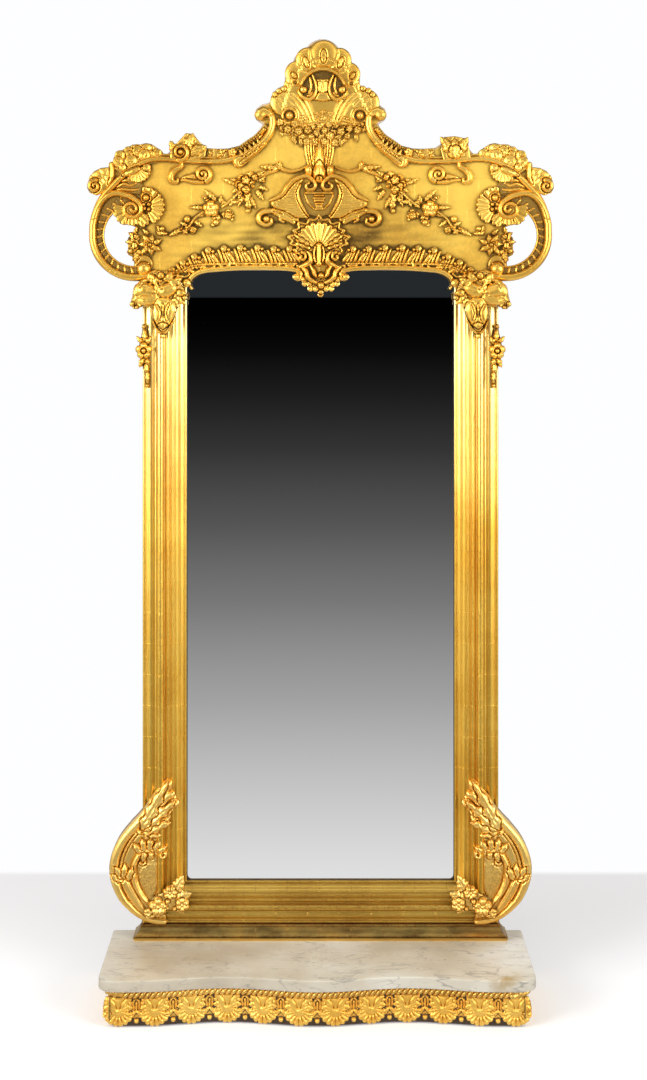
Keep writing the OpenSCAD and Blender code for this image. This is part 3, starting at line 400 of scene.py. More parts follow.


# The uprights' leaf is painted darker and duller towards their foot and paler towards their head: painted
# shade below, a painted highlight above.
tree, target, toned = base_colour(gilt_moulding)
at_height = place_along(tree, "Z")
painted_low_shade = ramp(tree, between(tree, at_height, 1.1, 1.7), [(0.0, (0.93, 0.87, 0.74)), (1.0, grey(1.0))])
toned = blend_colour(tree, 1.0, toned, painted_low_shade, "MULTIPLY")
toned = blend_colour(tree, between(tree, at_height, 1.2, 1.8, 0.0, 0.45), toned, (1.0, 0.80, 0.40))
tree.links.new(toned, target)


def varnish(finish, weight=0.3, roughness=0.2):
    """A thin clear coat, which the burnished carvings keep."""
    sockets = finish.node_tree.nodes["Principled BSDF"].inputs
    sockets["Coat Weight"].default_value = weight
    sockets["Coat Roughness"].default_value = roughness


varnish(gilt_carving)


def arc(centre_u, centre_d, radius_u, radius_d, start, end, steps=8):
    """Points of part of an ellipse, from one angle to another in degrees."""
    angles = [math.radians(start + (end - start) * i / steps) for i in range(steps + 1)]
    return [(centre_u + radius_u * math.cos(a), centre_d + radius_d * math.sin(a)) for a in angles]


def dips_and_ridges(profile, reach=7.0):
    """How deep each profile point lies below its neighbours, and how far it stands above them."""
    u = np.array([p[0] for p in profile])
    d = np.array([p[1] for p in profile])
    near = np.exp(-((u[:, None] - u[None, :]) / reach) ** 2)
    mean = (near * d[None, :]).sum(1) / near.sum(1)
    return np.clip((mean - d) / 6.0, 0, 1) * 0.4, np.clip((d - mean) / 3.0, 0, 1)


def skin(rings, n):
    """Faces that join rings of n points each, one after another, and close both ends."""
    faces = [(k * n + i, k * n + (i + 1) % n, (k + 1) * n + (i + 1) % n, (k + 1) * n + i)
             for k in range(rings - 1) for i in range(n)]
    return faces + [tuple(reversed(range(n))), tuple(range((rings - 1) * n, rings * n))]


def moulding(name, face, back, stations):
    """A run of moulding. Its face and back are points of its section, placed by each station."""
    section = list(face) + list(back)
    dip, rise = dips_and_ridges(face)
    points, marks = [], []
    for station in stations:
        points += [station(*p) for p in section]
        marks += list(zip(dip, rise)) + [(0.9, 0.0)] * len(back)
    piece = make_mesh(name, points, skin(len(stations), len(section)))
    body = bmesh.new()
    body.from_mesh(piece.data)
    bmesh.ops.recalc_face_normals(body, faces=body.faces)
    body.to_mesh(piece.data)
    body.free()
    # The recesses of the face and the whole back get painted shade and grime; the ridges get rubbing.
    for label, column in (("painted_shade_and_grime", 0), ("ridge", 1)):
        layer = piece.data.attributes.new(label, "FLOAT", "POINT")
        layer.data.foreach_set("value", np.array([m[column] for m in marks], np.float32))
    piece.data.shade_smooth()
    piece.data.set_sharp_from_angle(angle=math.radians(38))
    return piece


cove = [(12 + 17 * t, 47.5 + 13.5 * (t * t * (3 - 2 * t)))
        for t in (0.0, 0.15, 0.3, 0.45, 0.6, 0.75, 0.9, 1.0)]
main_face = (
    [(2, 42), (2, 45)] + arc(5.2, 46, 3.2, 4.4, 180, 10, 8) + [(9, 46.6), (10.5, 46)] + cove
    + [(30, 60), (31.4, 59.6), (32.6, 60)] + arc(36.6, 60.4, 3.6, 3.6, 180, 0, 10)
    + [(41, 60.4), (42.6, 60), (44, 60.8)] + arc(49.4, 61.4, 5, 5, 180, 0, 10)
    + [(55.2, 62), (57, 61.5), (58.6, 62.4)] + arc(68.6, 64, 9.6, 12, 175, -4, 14)
)
main_back = [(78.2, 59), (FACE_W, 58.6), (FACE_W, 1), (24, 1), (24, 22), (12, 22), (12, 38), (2, 38)]
SIGHT_DROP, DROP_RATE = 5.6, 0.9518


def rail_z(u):
    """Height of a member of the bottom rail, whose face is a little narrower than the uprights'."""
    return SIGHT_Z - SIGHT_DROP - DROP_RATE * u


def mitre(sign):
    """The mitred corner on one side, where an upright run starts and the bottom rail ends."""
    return lambda u, d: (-sign * (SIGHT_X + u), WALL - d, rail_z(u))


def upright(sign):
    """Stations of an upright run: its mitred foot and its head under the capital."""
    return [mitre(sign), lambda u, d: (-sign * (SIGHT_X + u), WALL - d, SHOULDER_Z - 1)]


rail_stations = [mitre(1), mitre(-1)]
for side, sign in SIDES:
    run = moulding(side + "_stile_moulding", main_face, main_back, upright(sign))
    dress(run, gilt_moulding, "gilt", side + "_stile")
main_rail = moulding("bottom_rail_moulding", main_face, main_back, rail_stations)

# The set-back outer strip: a flat cushion and a bead on the same three sides, which
# the big torus of the main moulding overhangs.
strip_face = (
    [(0, 30), (0, 56.6), (6.5, 56.8), (8.6, 55.2), (11, 54.6), (13, 55.4)]
    + [(13.5 + 14 * t, 55.6 + 2.2 * math.sin(math.pi * t)) for t in (0.0, 0.2, 0.4, 0.6, 0.8, 1.0)]
    + [(29.4, 54.6), (31.4, 54), (33, 54.8)] + arc(37.6, 54.4, 4.4, 3.6, 180, 0, 10) + [(STRIP_W, 50)]
)
strip_face = [(FACE_W + u, d) for u, d in strip_face]
strip_back = [(FACE_W + STRIP_W, 1), (FACE_W, 1)]
for side, sign in SIDES:
    run = moulding(side + "_strip_moulding", strip_face, strip_back, upright(sign))
    dress(run, gilt_moulding, "gilt", side + "_side_strip")
strip_rail = moulding("bottom_strip_moulding", strip_face, strip_back, rail_stations)
# The bottom rail's leaf is darker than the uprights': partly more age and wear, partly painted shade.
gilt_rail_shaded = gilt("gilt_rail_shaded", (0.73, 0.47, 0.095), (0.62, 0.36, 0.06), age=0.35, wear=0.35, laps=0.6,
                 polish=0.24)
for run in (main_rail, strip_rail):
    dress(run, gilt_rail_shaded, "gilt", "bottom_rail")

# The slip: a thin strip between the frame and the plate, painted dark as the shadow
# line there, with its two lower corners cut round.
SLIP_W, SLIP_R, SLIP_TOP = 1.8, 12.0, 1862


def slip_line(inset, radius):
    """An edge of the slip: down one side, round the two lower corners and up the other side."""
    x, z = SIGHT_X + 2 - inset, rail_z(2) + inset
    line = [(-x, SLIP_TOP)]
    for centre_x, start in ((-x + radius, 180), (x - radius, 270)):
        line += [(centre_x + radius * math.cos(math.radians(start + 15 * i)),
                  z + radius + radius * math.sin(math.radians(start + 15 * i))) for i in range(7)]
    return line + [(x, SLIP_TOP)]


outer, inner = slip_line(-4, 1.0), slip_line(SLIP_W, SLIP_R)
count = len(outer)
points = [(x, WALL - d, z) for d in (38.2, 40.5) for line in (outer, inner) for x, z in line]
faces = []
for i in range(count - 1):
    a, b, c, e = i, i + 1, count + i, count + i + 1
    faces += [(a, b, e, c), (2 * count + a, 2 * count + c, 2 * count + e, 2 * count + b),
              (c, e, 2 * count + e, 2 * count + c), (b, a, 2 * count + a, 2 * count + b)]
faces += [(0, count, 3 * count, 2 * count),
          (count - 1, 3 * count - 1, 4 * count - 1, 2 * count - 1)]
slip = make_mesh("sight_slip", points, faces)
slip_paint, slip_shader = plain_material("slip_shadow_paint", (0.03, 0.022, 0.012), 0.6)
tree = slip_paint.node_tree
slip_shadow_tone = ramp(tree, noise(tree, object_place(tree), 60, 4),
                 [(0.3, (0.02, 0.014, 0.008)), (0.7, (0.07, 0.045, 0.02))])
tree.links.new(slip_shadow_tone, slip_shader.inputs["Base Color"])
dress(slip, slip_paint, "gilt")

# ---------------------------------------------------------------------------
# The foot moulding, an ogee that flares out over the slab on the front and on
# both ends, mitred at its corners.
FOOT_BOTTOM, FOOT_H = 124, 38
FOOT_X, FOOT_D, FOOT_BACK, FLARE = 468, 62, 14, 16
foot_face = (
    [(0, FOOT_H), (0, FOOT_H - 3), (1.2, FOOT_H - 4.4), (0, FOOT_H - 6)]
    + [(FLARE * (1 - math.cos(math.radians(9 * i))), FOOT_H - 7 - (FOOT_H - 16) * i / 10)
       for i in range(11)]
    + [(FLARE + 2.6, 8.4), (FLARE + 3, 7), (FLARE + 2.6, 5.4), (FLARE + 1, 4), (FLARE, 3), (FLARE, 0)]
)


def foot_station(sign, at_wall):
    return lambda p, z: (sign * (FOOT_X + p), WALL if at_wall else WALL - (FOOT_D + p), FOOT_BOTTOM + z)


def vector_maths(tree, operation, a, b, output="Vector"):
    return put(tree, "ShaderNodeVectorMath", {0: a, 1: b}, operation=operation).outputs[output]


foot = moulding("foot_ogee", foot_face, [(-FOOT_BACK, 0), (-FOOT_BACK, FOOT_H)],
                [foot_station(-1, True), foot_station(-1, False), foot_station(1, False),
                 foot_station(1, True)])
# The foot's leaf is dark: partly age and wear, partly painted shade. It is mottled at random, and a painted
# highlight runs along its lower bead.
gilt_foot_shaded = gilt("gilt_foot_shaded", (0.40, 0.285, 0.082), (0.42, 0.26, 0.07), age=0.5, wear=0.6, laps=1.0,
                 polish=0.25)
tree, target, toned = base_colour(gilt_foot_shaded)
along = vector_maths(tree, "MULTIPLY", object_place(tree), (1.0, 1.0, 3.2))
handled = ramp(tree, noise(tree, along, 11, 4),
               [(0.36, (0.44, 0.42, 0.42)), (0.52, grey(0.84)), (0.66, (1.14, 1.08, 0.9))])
painted_edge_highlight = between(tree, place_along(tree, "Z"), 0.1295, 0.1325, 0.8, 0.0)
toned = blend_colour(tree, 1.0, toned, handled, "MULTIPLY")
tree.links.new(blend_colour(tree, painted_edge_highlight, toned, (0.86, 0.56, 0.14)), target)
dress(foot, gilt_foot_shaded, "gilt", "foot_moulding")

# ---------------------------------------------------------------------------
# The posts: the two stiles run up behind the crest as bare tenons with eased edges,
# which carry the top rail.
POST_W, POST_D, POST_TOP, EASED = 50, 38, 1974, 1.2
for side, low_x in (("left", -SIGHT_X - FACE_W), ("right", SIGHT_X + FACE_W - POST_W)):
    points = [(x, y, z) for z in (SHOULDER_Z - 1, POST_TOP) for y in (WALL - POST_D, WALL)
              for x in (low_x, low_x + POST_W)]
    post = make_mesh(side + "_post", points,
                     [(0, 2, 3, 1), (4, 5, 7, 6), (0, 1, 5, 4), (2, 6, 7, 3), (0, 4, 6, 2), (1, 3, 7, 5)])
    edges = post.modifiers.new("eased_edges", "BEVEL")
    edges.width, edges.segments = 0.001 * EASED, 2
    dress(post, batten_pine, "bare_pine", side + "_stile")

# ---------------------------------------------------------------------------
# The crest board: one sawn board, on which all the carving is planted. Its front
# is gilded, and its sawn edge was left bare and has greyed.
FAR_OUT = -99.0


class Relief:
    """A carving on a grid: how far each point lies inside the outline, and how high it is."""

    def __init__(self, left, right, low, high, step=1.6):
        self.step, self.left, self.low, self.bounds = step, left, low, (left, right, low, high)
        self.x, self.z = np.meshgrid(np.arange(left, right + step, step), np.arange(low, high + step, step))
        self.inside = np.full(self.x.shape, FAR_OUT)
        self.height = np.zeros(self.x.shape)
        # How dark the leaf is at each place: partly soot, partly painted shade in hollows and round the
        # forms.
        self.soot_and_shade = np.zeros(self.x.shape)

    def window(self, x0, x1, z0, z1):
        """The rows and columns of the grid that cover a rectangle."""
        spans = []
        for low, high, start, count in ((z0, z1, self.low, self.x.shape[0]),
                                        (x0, x1, self.left, self.x.shape[1])):
            first = int(max(0, (low - start) / self.step))
            spans.append(slice(first, max(first, int(min(count, (high - start) / self.step + 2)))))
        return tuple(spans)

    def near(self, points, reach):
        """The part of the grid within reach of some points, and its places."""
        x0, z0, x1, z1 = points[:, 0].min(), points[:, 1].min(), points[:, 0].max(), points[:, 1].max()
        area = self.window(x0 - reach, x1 + reach, z0 - reach, z1 + reach)
        return area, self.x[area], self.z[area]

    def about(self, x, z, reach):
        """The part of the grid round a centre, and how far its places lie from that centre."""
        area = self.window(x - reach, x + reach, z - reach, z + reach)
        return area, self.x[area] - x, self.z[area] - z

    def add(self, area, inside, height, sink=0.5, gap=2.2, cover=False, soot_and_shade=0.0):
        """Lays a form over what is there, and cuts the ground down just outside it."""
        shade = 1 - sink * np.exp(-(np.minimum(inside, 0) / gap) ** 2)
        old = self.height[area] * np.where(inside < 0, shade, 1)
        self.height[area] = np.where(inside > 0, height if cover else np.maximum(old, height), old)
        self.inside[area] = np.maximum(self.inside[area], inside)
        self.soot_and_shade[area] = np.where(inside > 0, soot_and_shade, self.soot_and_shade[area])

    def tube(self, path, radii, lift=3.0, tall=None, sink=0.5):
        """A rounded strand along a smooth path, with a radius that changes from end to end."""
        spots = smooth(path, self.step * 0.8)
        share = np.linspace(0, 1, len(spots))
        size = np.interp(share, np.linspace(0, 1, len(radii)), radii)
        rise = size * 0.9 if tall is None else np.interp(share, np.linspace(0, 1, len(tall)), tall)
        area, x, z = self.near(spots, max(radii) + 7)
        inside, height = np.full(x.shape, FAR_OUT), np.zeros(x.shape)
        for (px, pz), r, h in zip(spots, size, rise):
            distance = np.hypot(x - px, z - pz)
            inside = np.maximum(inside, r - distance)
            height = np.maximum(height, lift + h * np.sqrt(np.clip(1 - (distance / r) ** 2, 0, 1)))
        self.add(area, inside, height, sink)

    def ball(self, x, z, r, tall=None, lift=3.0):
        """A berry, or a bead."""
        self.tube([(x, z), (x + 0.1, z)], [r, r], lift, None if tall is None else [tall, tall], 0.65)

    def leaf(self, x, z, angle, length, width, tall=9.0, bend=0.0, lobes=3, lift=2.5, cut=0.14):
        """A leaf with a hollow midrib and a lobed edge. bend swings its tip to the left."""
        area, u, v = self.about(x, z, length)
        c, s = math.cos(math.radians(angle)), math.sin(math.radians(angle))
        along = (c * u + s * v) / length
        across = (-s * u + c * v) - bend * length * np.clip(along, 0, 1.2) ** 2
        t = np.clip(along, 0.0, 1.0)
        swell = np.sin(np.pi * t ** 0.72) ** 0.75
        half = 0.5 * width * (swell * (1 - cut + cut * np.cos(2 * np.pi * lobes * (t - 0.15))) + 0.05)
        inside = np.minimum(half - np.abs(across), np.minimum(along, 1 - along) * length)
        q = np.clip(np.abs(across) / np.maximum(half, 0.1), 0, 1)
        height = tall * (0.45 + 0.55 * swell) * (1 - 0.7 * q ** 2.2)
        height -= 0.34 * tall * np.exp(-(across / (0.05 * width + 0.8)) ** 2) * np.clip(1.15 - t, 0, 1)
        height += 0.10 * tall * np.cos(2 * np.pi * (2 * lobes * t - 1.1 * q)) * q
        self.add(area, inside, lift + np.clip(height, 0, None))

    def flower(self, x, z, r, tall=10.0, petals=5, turn=0.0, lift=2.5):
        """Round hollow petals round a button."""
        area, u, v = self.about(x, z, r + 6)
        rho, theta = np.hypot(u, v), np.arctan2(v, u) - math.radians(turn)
        lobe = np.abs(np.cos(0.5 * petals * theta))
        edge = r * (0.72 + 0.28 * lobe ** 0.6)
        q = rho / edge
        cup = 0.25 + 0.75 * np.sin(np.pi * np.clip(q, 0, 1) ** 1.3) ** 0.8
        height = tall * cup * (0.45 + 0.55 * lobe ** 0.5)
        height = height - 0.18 * tall * np.exp(-(1 - lobe) * 60)
        button = tall * 0.85 * np.sqrt(np.clip(1 - (rho / (0.27 * r)) ** 2, 0, 1))
        self.add(area, edge - rho, lift + np.maximum(height, button), 0.6)

    def fan(self, x, z, r, start, end, ribs, hub=4.0, rim=12.0, scallop=0.08, lift=2.5, inner=0.0,
            squeeze=0.0, cut=0.48):
        """Ribs that spread from a hub, each with a round end."""
        area, u, v = self.about(x, z, r + 6)
        rho, theta = np.hypot(u, v), np.degrees(np.arctan2(v, u))
        turn = (theta - start) % 360
        spread = end - start
        part = np.clip(turn / spread, 0, 1)
        wave = np.abs(np.sin(np.pi * ribs * part))
        edge = r * (1 - scallop + scallop * wave ** 0.7) * (1 - squeeze * (1 - np.sin(np.pi * part) ** 0.7))
        side = np.minimum(turn, spread - turn)
        side = np.where(turn > spread, -np.minimum(turn - spread, 360 - turn), side)
        inside = np.minimum(edge - rho, np.radians(np.clip(side, -60, 60)) * rho + 0.6)
        inside = np.minimum(inside, rho - inner + 0.3)
        q = np.clip(rho / r, 0, 1)
        height = hub + (rim - hub) * q ** 0.8
        height = height * (1 - cut + cut * wave ** 0.75)
        height *= np.where(q > 0.9, np.sqrt(np.clip(1 - ((q - 0.9) / 0.14) ** 2, 0.1, 1)), 1)
        self.add(area, np.where(turn <= spread, inside, np.minimum(inside, -0.5)), lift + height)

    def plate(self, outline, tall, edge=3.0, dish=0.0, soot_and_shade=0.0):
        """A flat or dished piece of ground inside an outline, with a rounded edge."""
        p = np.array(outline, float)
        area, x, z = self.near(p, 8)
        nearest, within = np.full(x.shape, -FAR_OUT), np.zeros(x.shape, bool)
        for (ax, az), (bx, bz) in zip(p, np.roll(p, -1, 0)):
            dx, dz = bx - ax, bz - az
            t = np.clip(((x - ax) * dx + (z - az) * dz) / (dx * dx + dz * dz + 1e-9), 0, 1)
            nearest = np.minimum(nearest, np.hypot(x - ax - t * dx, z - az - t * dz))
            crosses = (az > z) != (bz > z)
            within ^= crosses & (x < dx * (z - az) / (dz if dz else 1e-9) + ax)
        inside = np.where(within, nearest, -nearest)
        rounded = np.sqrt(np.clip(1 - (1 - np.clip(inside, 0, edge) / edge) ** 2, 0, 1))
        self.add(area, inside, tall * (0.45 + 0.55 * rounded) - dish * np.clip(inside - edge, 0, 12) / 12,
                 0.3, soot_and_shade=soot_and_shade)

    def scale(self, x, z, r, tall=9.0, turn=0.0, lift=3.0):
        """A round dished scale with a rolled rim, which covers what lies under it."""
        area, u, v = self.about(x, z, r + 6)
        rho, theta = np.hypot(u, v), np.arctan2(v, u) - math.radians(turn)
        q = rho / r
        rolled = np.exp(-((q - 0.78) / 0.20) ** 2)
        spiral = np.cos(theta - 5.0 * q) * np.clip(1 - q / 0.8, 0, 1)
        height = lift + tall * (0.60 + 0.30 * rolled + 0.24 * spiral)
        height = height * np.where(q > 0.88, np.sqrt(np.clip(1 - ((q - 0.88) / 0.14) ** 2, 0.20, 1)), 1)
        self.add(area, r - rho, height, 0.35, cover=True)

    def groove(self, path, width, depth):
        """A round-bottomed cut along a smooth path."""
        spots = smooth(path, self.step)
        area, x, z = self.near(spots, 3 * width)
        nearest = np.full(x.shape, -FAR_OUT)
        for px, pz in spots:
            nearest = np.minimum(nearest, np.hypot(x - px, z - pz))
        self.height[area] = np.maximum(self.height[area] - depth * np.exp(-(nearest / width) ** 2), 1.0)

    def blank(self):
        """An empty grid of the same size."""
        return Relief(*self.bounds, self.step)

    def hollow(self, outline, level, edge=2.0, soot_and_shade=0.6):
        """Sinks the ground inside an outline to a level, and darkens it with soot and painted shade."""
        ground = self.blank()
        ground.plate(outline, 10, edge)
        depth = np.clip(ground.inside / edge + 0.5, 0, 1)
        self.height = np.where(self.height > level, self.height * (1 - depth) + level * depth, self.height)
        self.soot_and_shade = np.maximum(self.soot_and_shade, soot_and_shade * depth)

    def soften(self, share=0.5):
        """Rounds the carving a little, as the gesso over it does."""
        self.height = (1 - share) * self.height + share * blur(self.height, 2)


def smooth(path, step):
    """Points spaced evenly on a smooth curve through the given ones."""
    p = np.array(path, float)
    if len(p) < 3:
        count = max(2, int(np.hypot(*(p[-1] - p[0])) / step) + 1)
        return p[0] + (p[-1] - p[0]) * np.linspace(0, 1, count)[:, None]
    padded = np.vstack([2 * p[0] - p[1], p, 2 * p[-1] - p[-2]])
    line = []
    for k in range(len(p) - 1):
        a, b, c, d = padded[k:k + 4]
        count = max(2, int(np.hypot(*(c - b)) / step) + 1)
        t = np.linspace(0, 1, count, endpoint=False)[:, None]
        line.append(0.5 * (2 * b + (c - a) * t + (2 * a - 5 * b + 4 * c - d) * t ** 2
                           + (3 * b - a - 3 * c + d) * t ** 3))
    return np.vstack(line + [p[-1:]])


def around(x, z, r, start, end, steps=14):
    """Points on a circle, from one angle to another in degrees."""
    angles = np.radians(np.linspace(start, end, steps))
    return list(zip(x + r * np.cos(angles), z + r * np.sin(angles)))


def curl(x, z, r, start, turns, tail=0.25, steps=22):
    """A spiral that winds in round its eye. turns is less than zero to wind clockwise."""
    t = np.linspace(0, 1, steps)
    radius = r * (1 - (1 - tail) * t)
    angles = np.radians(start) + 2 * np.pi * turns * t
    return list(zip(x + radius * np.cos(angles), z + radius * np.sin(angles)))


def blur(grid, rounds=1):
    for _ in range(rounds):
        padded = np.pad(grid, 1, mode="edge")
        grid = (padded[:-2, 1:-1] + padded[2:, 1:-1] + padded[1:-1, :-2] + padded[1:-1, 2:] + 4 * grid) / 8
    return grid


CARVED = []


def carve(name, relief, back, sign=1, shift=0.0, deep=None, fall=0.7, marks=None, dirt=1.0):
    """Turns a drawn relief into a closed carving, whose back is at a distance from the wall.

    A sign of -1 mirrors it, deep gives the back's distance at each place, and fall is how high
    its edge starts.
    """
    inside, height, step = relief.inside, relief.height, relief.step
    solid = inside > 0
    cell = solid[:-1, :-1] | solid[1:, :-1] | solid[:-1, 1:] | solid[1:, 1:]
    used = np.zeros(solid.shape, bool)
    for i, j in ((0, 0), (0, 1), (1, 0), (1, 1)):
        used[i:i + cell.shape[0], j:j + cell.shape[1]] |= cell
    filled = np.where(solid, height, 0)
    padded = np.pad(filled, 1, mode="edge")
    near_top = np.max([padded[i:i + filled.shape[0], j:j + filled.shape[1]] for i in range(3)
                       for j in range(3)], 0)
    tops = np.where(solid, height, near_top * fall)
    tops = np.where(solid, 0.55 * tops + 0.45 * blur(tops), tops)
    soft_tops, softer_tops = blur(tops, 4), blur(tops, 16)
    slope_z, slope_x = np.gradient(inside, step)
    steep = np.maximum(slope_x ** 2 + slope_z ** 2, 0.3)
    move = np.where(solid, 0, np.clip(-inside, 0, 1.3 * step)) / steep
    x = relief.x + np.clip(move * slope_x, -step, step) + shift
    z = relief.z + np.clip(move * slope_z, -step, step)
    number = np.full(solid.shape, -1)
    number[used] = np.arange(used.sum())
    count = int(used.sum())
    a, b = number[:-1, :-1][cell], number[:-1, 1:][cell]
    c, d = number[1:, 1:][cell], number[1:, :-1][cell]
    front = np.stack([a, b, c, d], 1)
    rear = front[:, ::-1] + count
    blank = np.pad(cell, 1)
    rows, columns = np.nonzero(cell)
    walls = []
    for up_by, right_by, start, end in ((-1, 0, a, b), (0, 1, b, c), (1, 0, c, d), (0, -1, d, a)):
        open_side = ~blank[rows + 1 + up_by, columns + 1 + right_by]
        p, q = start[open_side], end[open_side]
        walls.append(np.stack([p, p + count, q + count, q], 1))
    faces = np.vstack([front, rear] + walls)
    flat_x, flat_z = x[used] * sign, z[used]
    depth = np.full(count, back) if deep is None else deep(flat_x, flat_z)
    points = np.vstack([np.stack([flat_x, WALL - back - tops[used], flat_z], 1),
                        np.stack([flat_x, WALL - depth, flat_z], 1)]) * 0.001
    if sign < 0:
        faces = faces[:, ::-1]
    mesh = bpy.data.meshes.new(name)
    mesh.from_pydata(points.tolist(), [], faces.tolist())
    # Painted shade and grime in the recesses and on the low skirts near the ground; the ridges are rubbed.
    dip = np.clip((soft_tops - tops - 0.15) / 2.0, 0, 1)
    dip = np.maximum(dip, np.clip((softer_tops - tops - 0.6) / 4.2, 0, 1))
    low = np.maximum(np.clip(1 - tops / 5.5, 0, 1) * 0.85, relief.soot_and_shade)
    rise = np.clip((tops - softer_tops) / 3.0, 0, 1)
    for label, values, at_back in marks or (("painted_shade_and_grime", np.maximum(dip * dirt, low), 1.0),
                                            ("ridge", rise, 0.0)):
        layer = mesh.attributes.new(label, "FLOAT", "POINT")
        layer.data.foreach_set("value",
                               np.concatenate([values[used], np.full(count, at_back)]).astype(np.float32))
    mesh.shade_smooth()
    mesh.set_sharp_from_angle(angle=math.radians(58))
    piece = bpy.data.objects.new(name, mesh)
    scene.collection.objects.link(piece)
    CARVED.append(piece)
    return piece


CREST_Z, BOARD_BACK, BOARD_T = 1866, 38, 22


def plant(name, relief, back=BOARD_BACK + BOARD_T, finish=gilt_carving, replaced=None, **how):
    """Carves a drawn relief, and puts it in place of the node of its name or of those given."""
    dress(carve(name + "_carving", relief, back, **how), finish, "gilt",
          *((name,) if replaced is None else replaced))


def plant_pair(name, relief, back=BOARD_BACK + BOARD_T, finish=gilt_carving, replaced=None, right_shift=0.0,
               **how):
    """The same on both sides, from a drawing of the left one."""
    for side, sign in SIDES:
        plant(side + "_" + name, relief, back, finish, replaced, sign=sign,
              shift=0.0 if sign > 0 else right_shift, **how)


GROUND_METAL = 0.85
gilt_ground = gilt("gilt_ground", (1.0, 0.665, 0.115), (0.90, 0.51, 0.06), age=0.32, wear=0.2, laps=0.1,
                   polish=0.40, metal=GROUND_METAL)
tree, target, gilded = base_colour(gilt_ground)
shader = target.node
bare = attribute(tree, "bare")
tree.links.new(blend_colour(tree, bare, gilded, (0.50, 0.42, 0.37)), target)
tree.links.new(blend_colour(tree, bare, shader.inputs["Roughness"].links[0].from_socket, grey(0.85)),
               shader.inputs["Roughness"])
tree.links.new(between(tree, bare, 0.0, 1.0, GROUND_METAL, 0.0), shader.inputs["Metallic"])

C_X, C_Z, C_R = -484, 1956, 109
half_board = [(0, 0), (-296, 0), (-312, -1), (-328, -5), (-339, -12), (-345, -20), (-348, -31), (-472, -31),
              (-480, -20), (-486, -8), (-486, 32), (-502, 40), (-502, 84), (-476, 110), (-498, 118),
              (-523, 121), (-532, 154), (-538, 178), (-556, 192), (-564, 200), (-562, 216), (-552, 238),
              (-540, 268), (-530, 286), (-516, 300), (-498, 311), (-480, 318), (-466, 323), (-452, 325),
              (-438, 320), (-424, 312), (-402, 300), (-394, 308), (-386, 319), (-376, 328), (-366, 335),
              (-354, 341), (-342, 343), (-330, 340), (-318, 333), (-308, 325), (-296, 318), (-260, 316),
              (-236, 317), (-218, 321), (-198, 332), (-178, 346), (-160, 364), (-150, 380), (-168, 392),
              (-172, 406), (-168, 420), (-152, 432), (-134, 436), (-118, 446), (-100, 470), (-82, 505),
              (-60, 540), (0, 560)]
board = Relief(-612, 612, 1834, 2472, 3.6)
board.plate([(x, CREST_Z + v) for x, v in half_board]
            + [(-x, CREST_Z + v) for x, v in reversed(half_board[1:-1])], BOARD_T, 1)
for x, v, size in ((0, 553, 42), (29, 531, 42), (50, 496, 41), (88, 434, 42)):
    for side in (-1, 1):
        rho = np.hypot(board.x - 5 - side * x, board.z - CREST_Z - v)
        board.inside = np.maximum(board.inside, size + 7 - rho)
for side in (-1, 1):
    rho = np.hypot(board.x - side * C_X, board.z - C_Z)
    board.inside = np.maximum(board.inside, np.minimum(C_R + 10 - rho, rho - (C_R - 18)))
board.height[:] = BOARD_T

# ---------------------------------------------------------------------------
# The two big C scrolls at the ends of the crest: a rounded rim with a hollow wall
# of small bars inside it, which winds into a volute at the top.
r = Relief(-608, -425, 1836, 2084)
r.plate(around(C_X, C_Z, 105, 62, 300, 60) + around(C_X, C_Z, 80, 300, 62, 60), 3.2, 2, 0, 0.75)
r.plate([(-590, 1990), (-590, 2030), (-572, 2054), (-548, 2068), (-520, 2060), (-540, 2040), (-572, 1990)],
        3.2, 2, 0, 0.7)
for angle in range(84, 296, 12):
    r.tube(around(C_X, C_Z, 84, angle, angle, 1) + around(C_X, C_Z, 98, angle + 3, angle + 3, 1),
           [2.0, 3.6], 3, [3.5, 4.5], 0.3)
r.tube(around(C_X, C_Z, 81.5, 78, 296, 60), [2.4, 2.4], 3.5, [4, 4])
rise = around(C_X, C_Z, C_R, 274, 176, 30) + [(-592, 1985), (-587, 2008), (-579, 2030)]
r.tube([(-430, 1860), (-445, 1853), (-462, 1849)] + rise + [(-570, 2046), (-560, 2056)],
       [8, 9, 9.5, 9.5, 9.5, 9.5, 9], 6, [8, 9, 11, 11, 11, 11, 10])
r.plate(around(-490, 2024, 22, 0, 346, 25), 10, 5, 0, 0.3)
r.tube(rise[-2:] + [(-566, 2049), (-549, 2062), (-532, 2066), (-517, 2064), (-498, 2058), (-480, 2048),
                    (-468, 2033), (-468, 2017), (-480, 2005), (-497, 2004), (-509, 2014), (-510, 2028),
                    (-500, 2038), (-487, 2037), (-479, 2028), (-482, 2019), (-490, 2018), (-493, 2024)],
       [9, 8.5] + [8] * 6 + [7.5, 7, 6.5, 6, 5.5, 5.5, 5, 5, 5], 6,
       [11, 11, 12, 13, 13, 13, 13, 13, 12, 12, 12, 12, 12, 13, 14, 15], 0.15)
plant_pair("c_scroll", r)

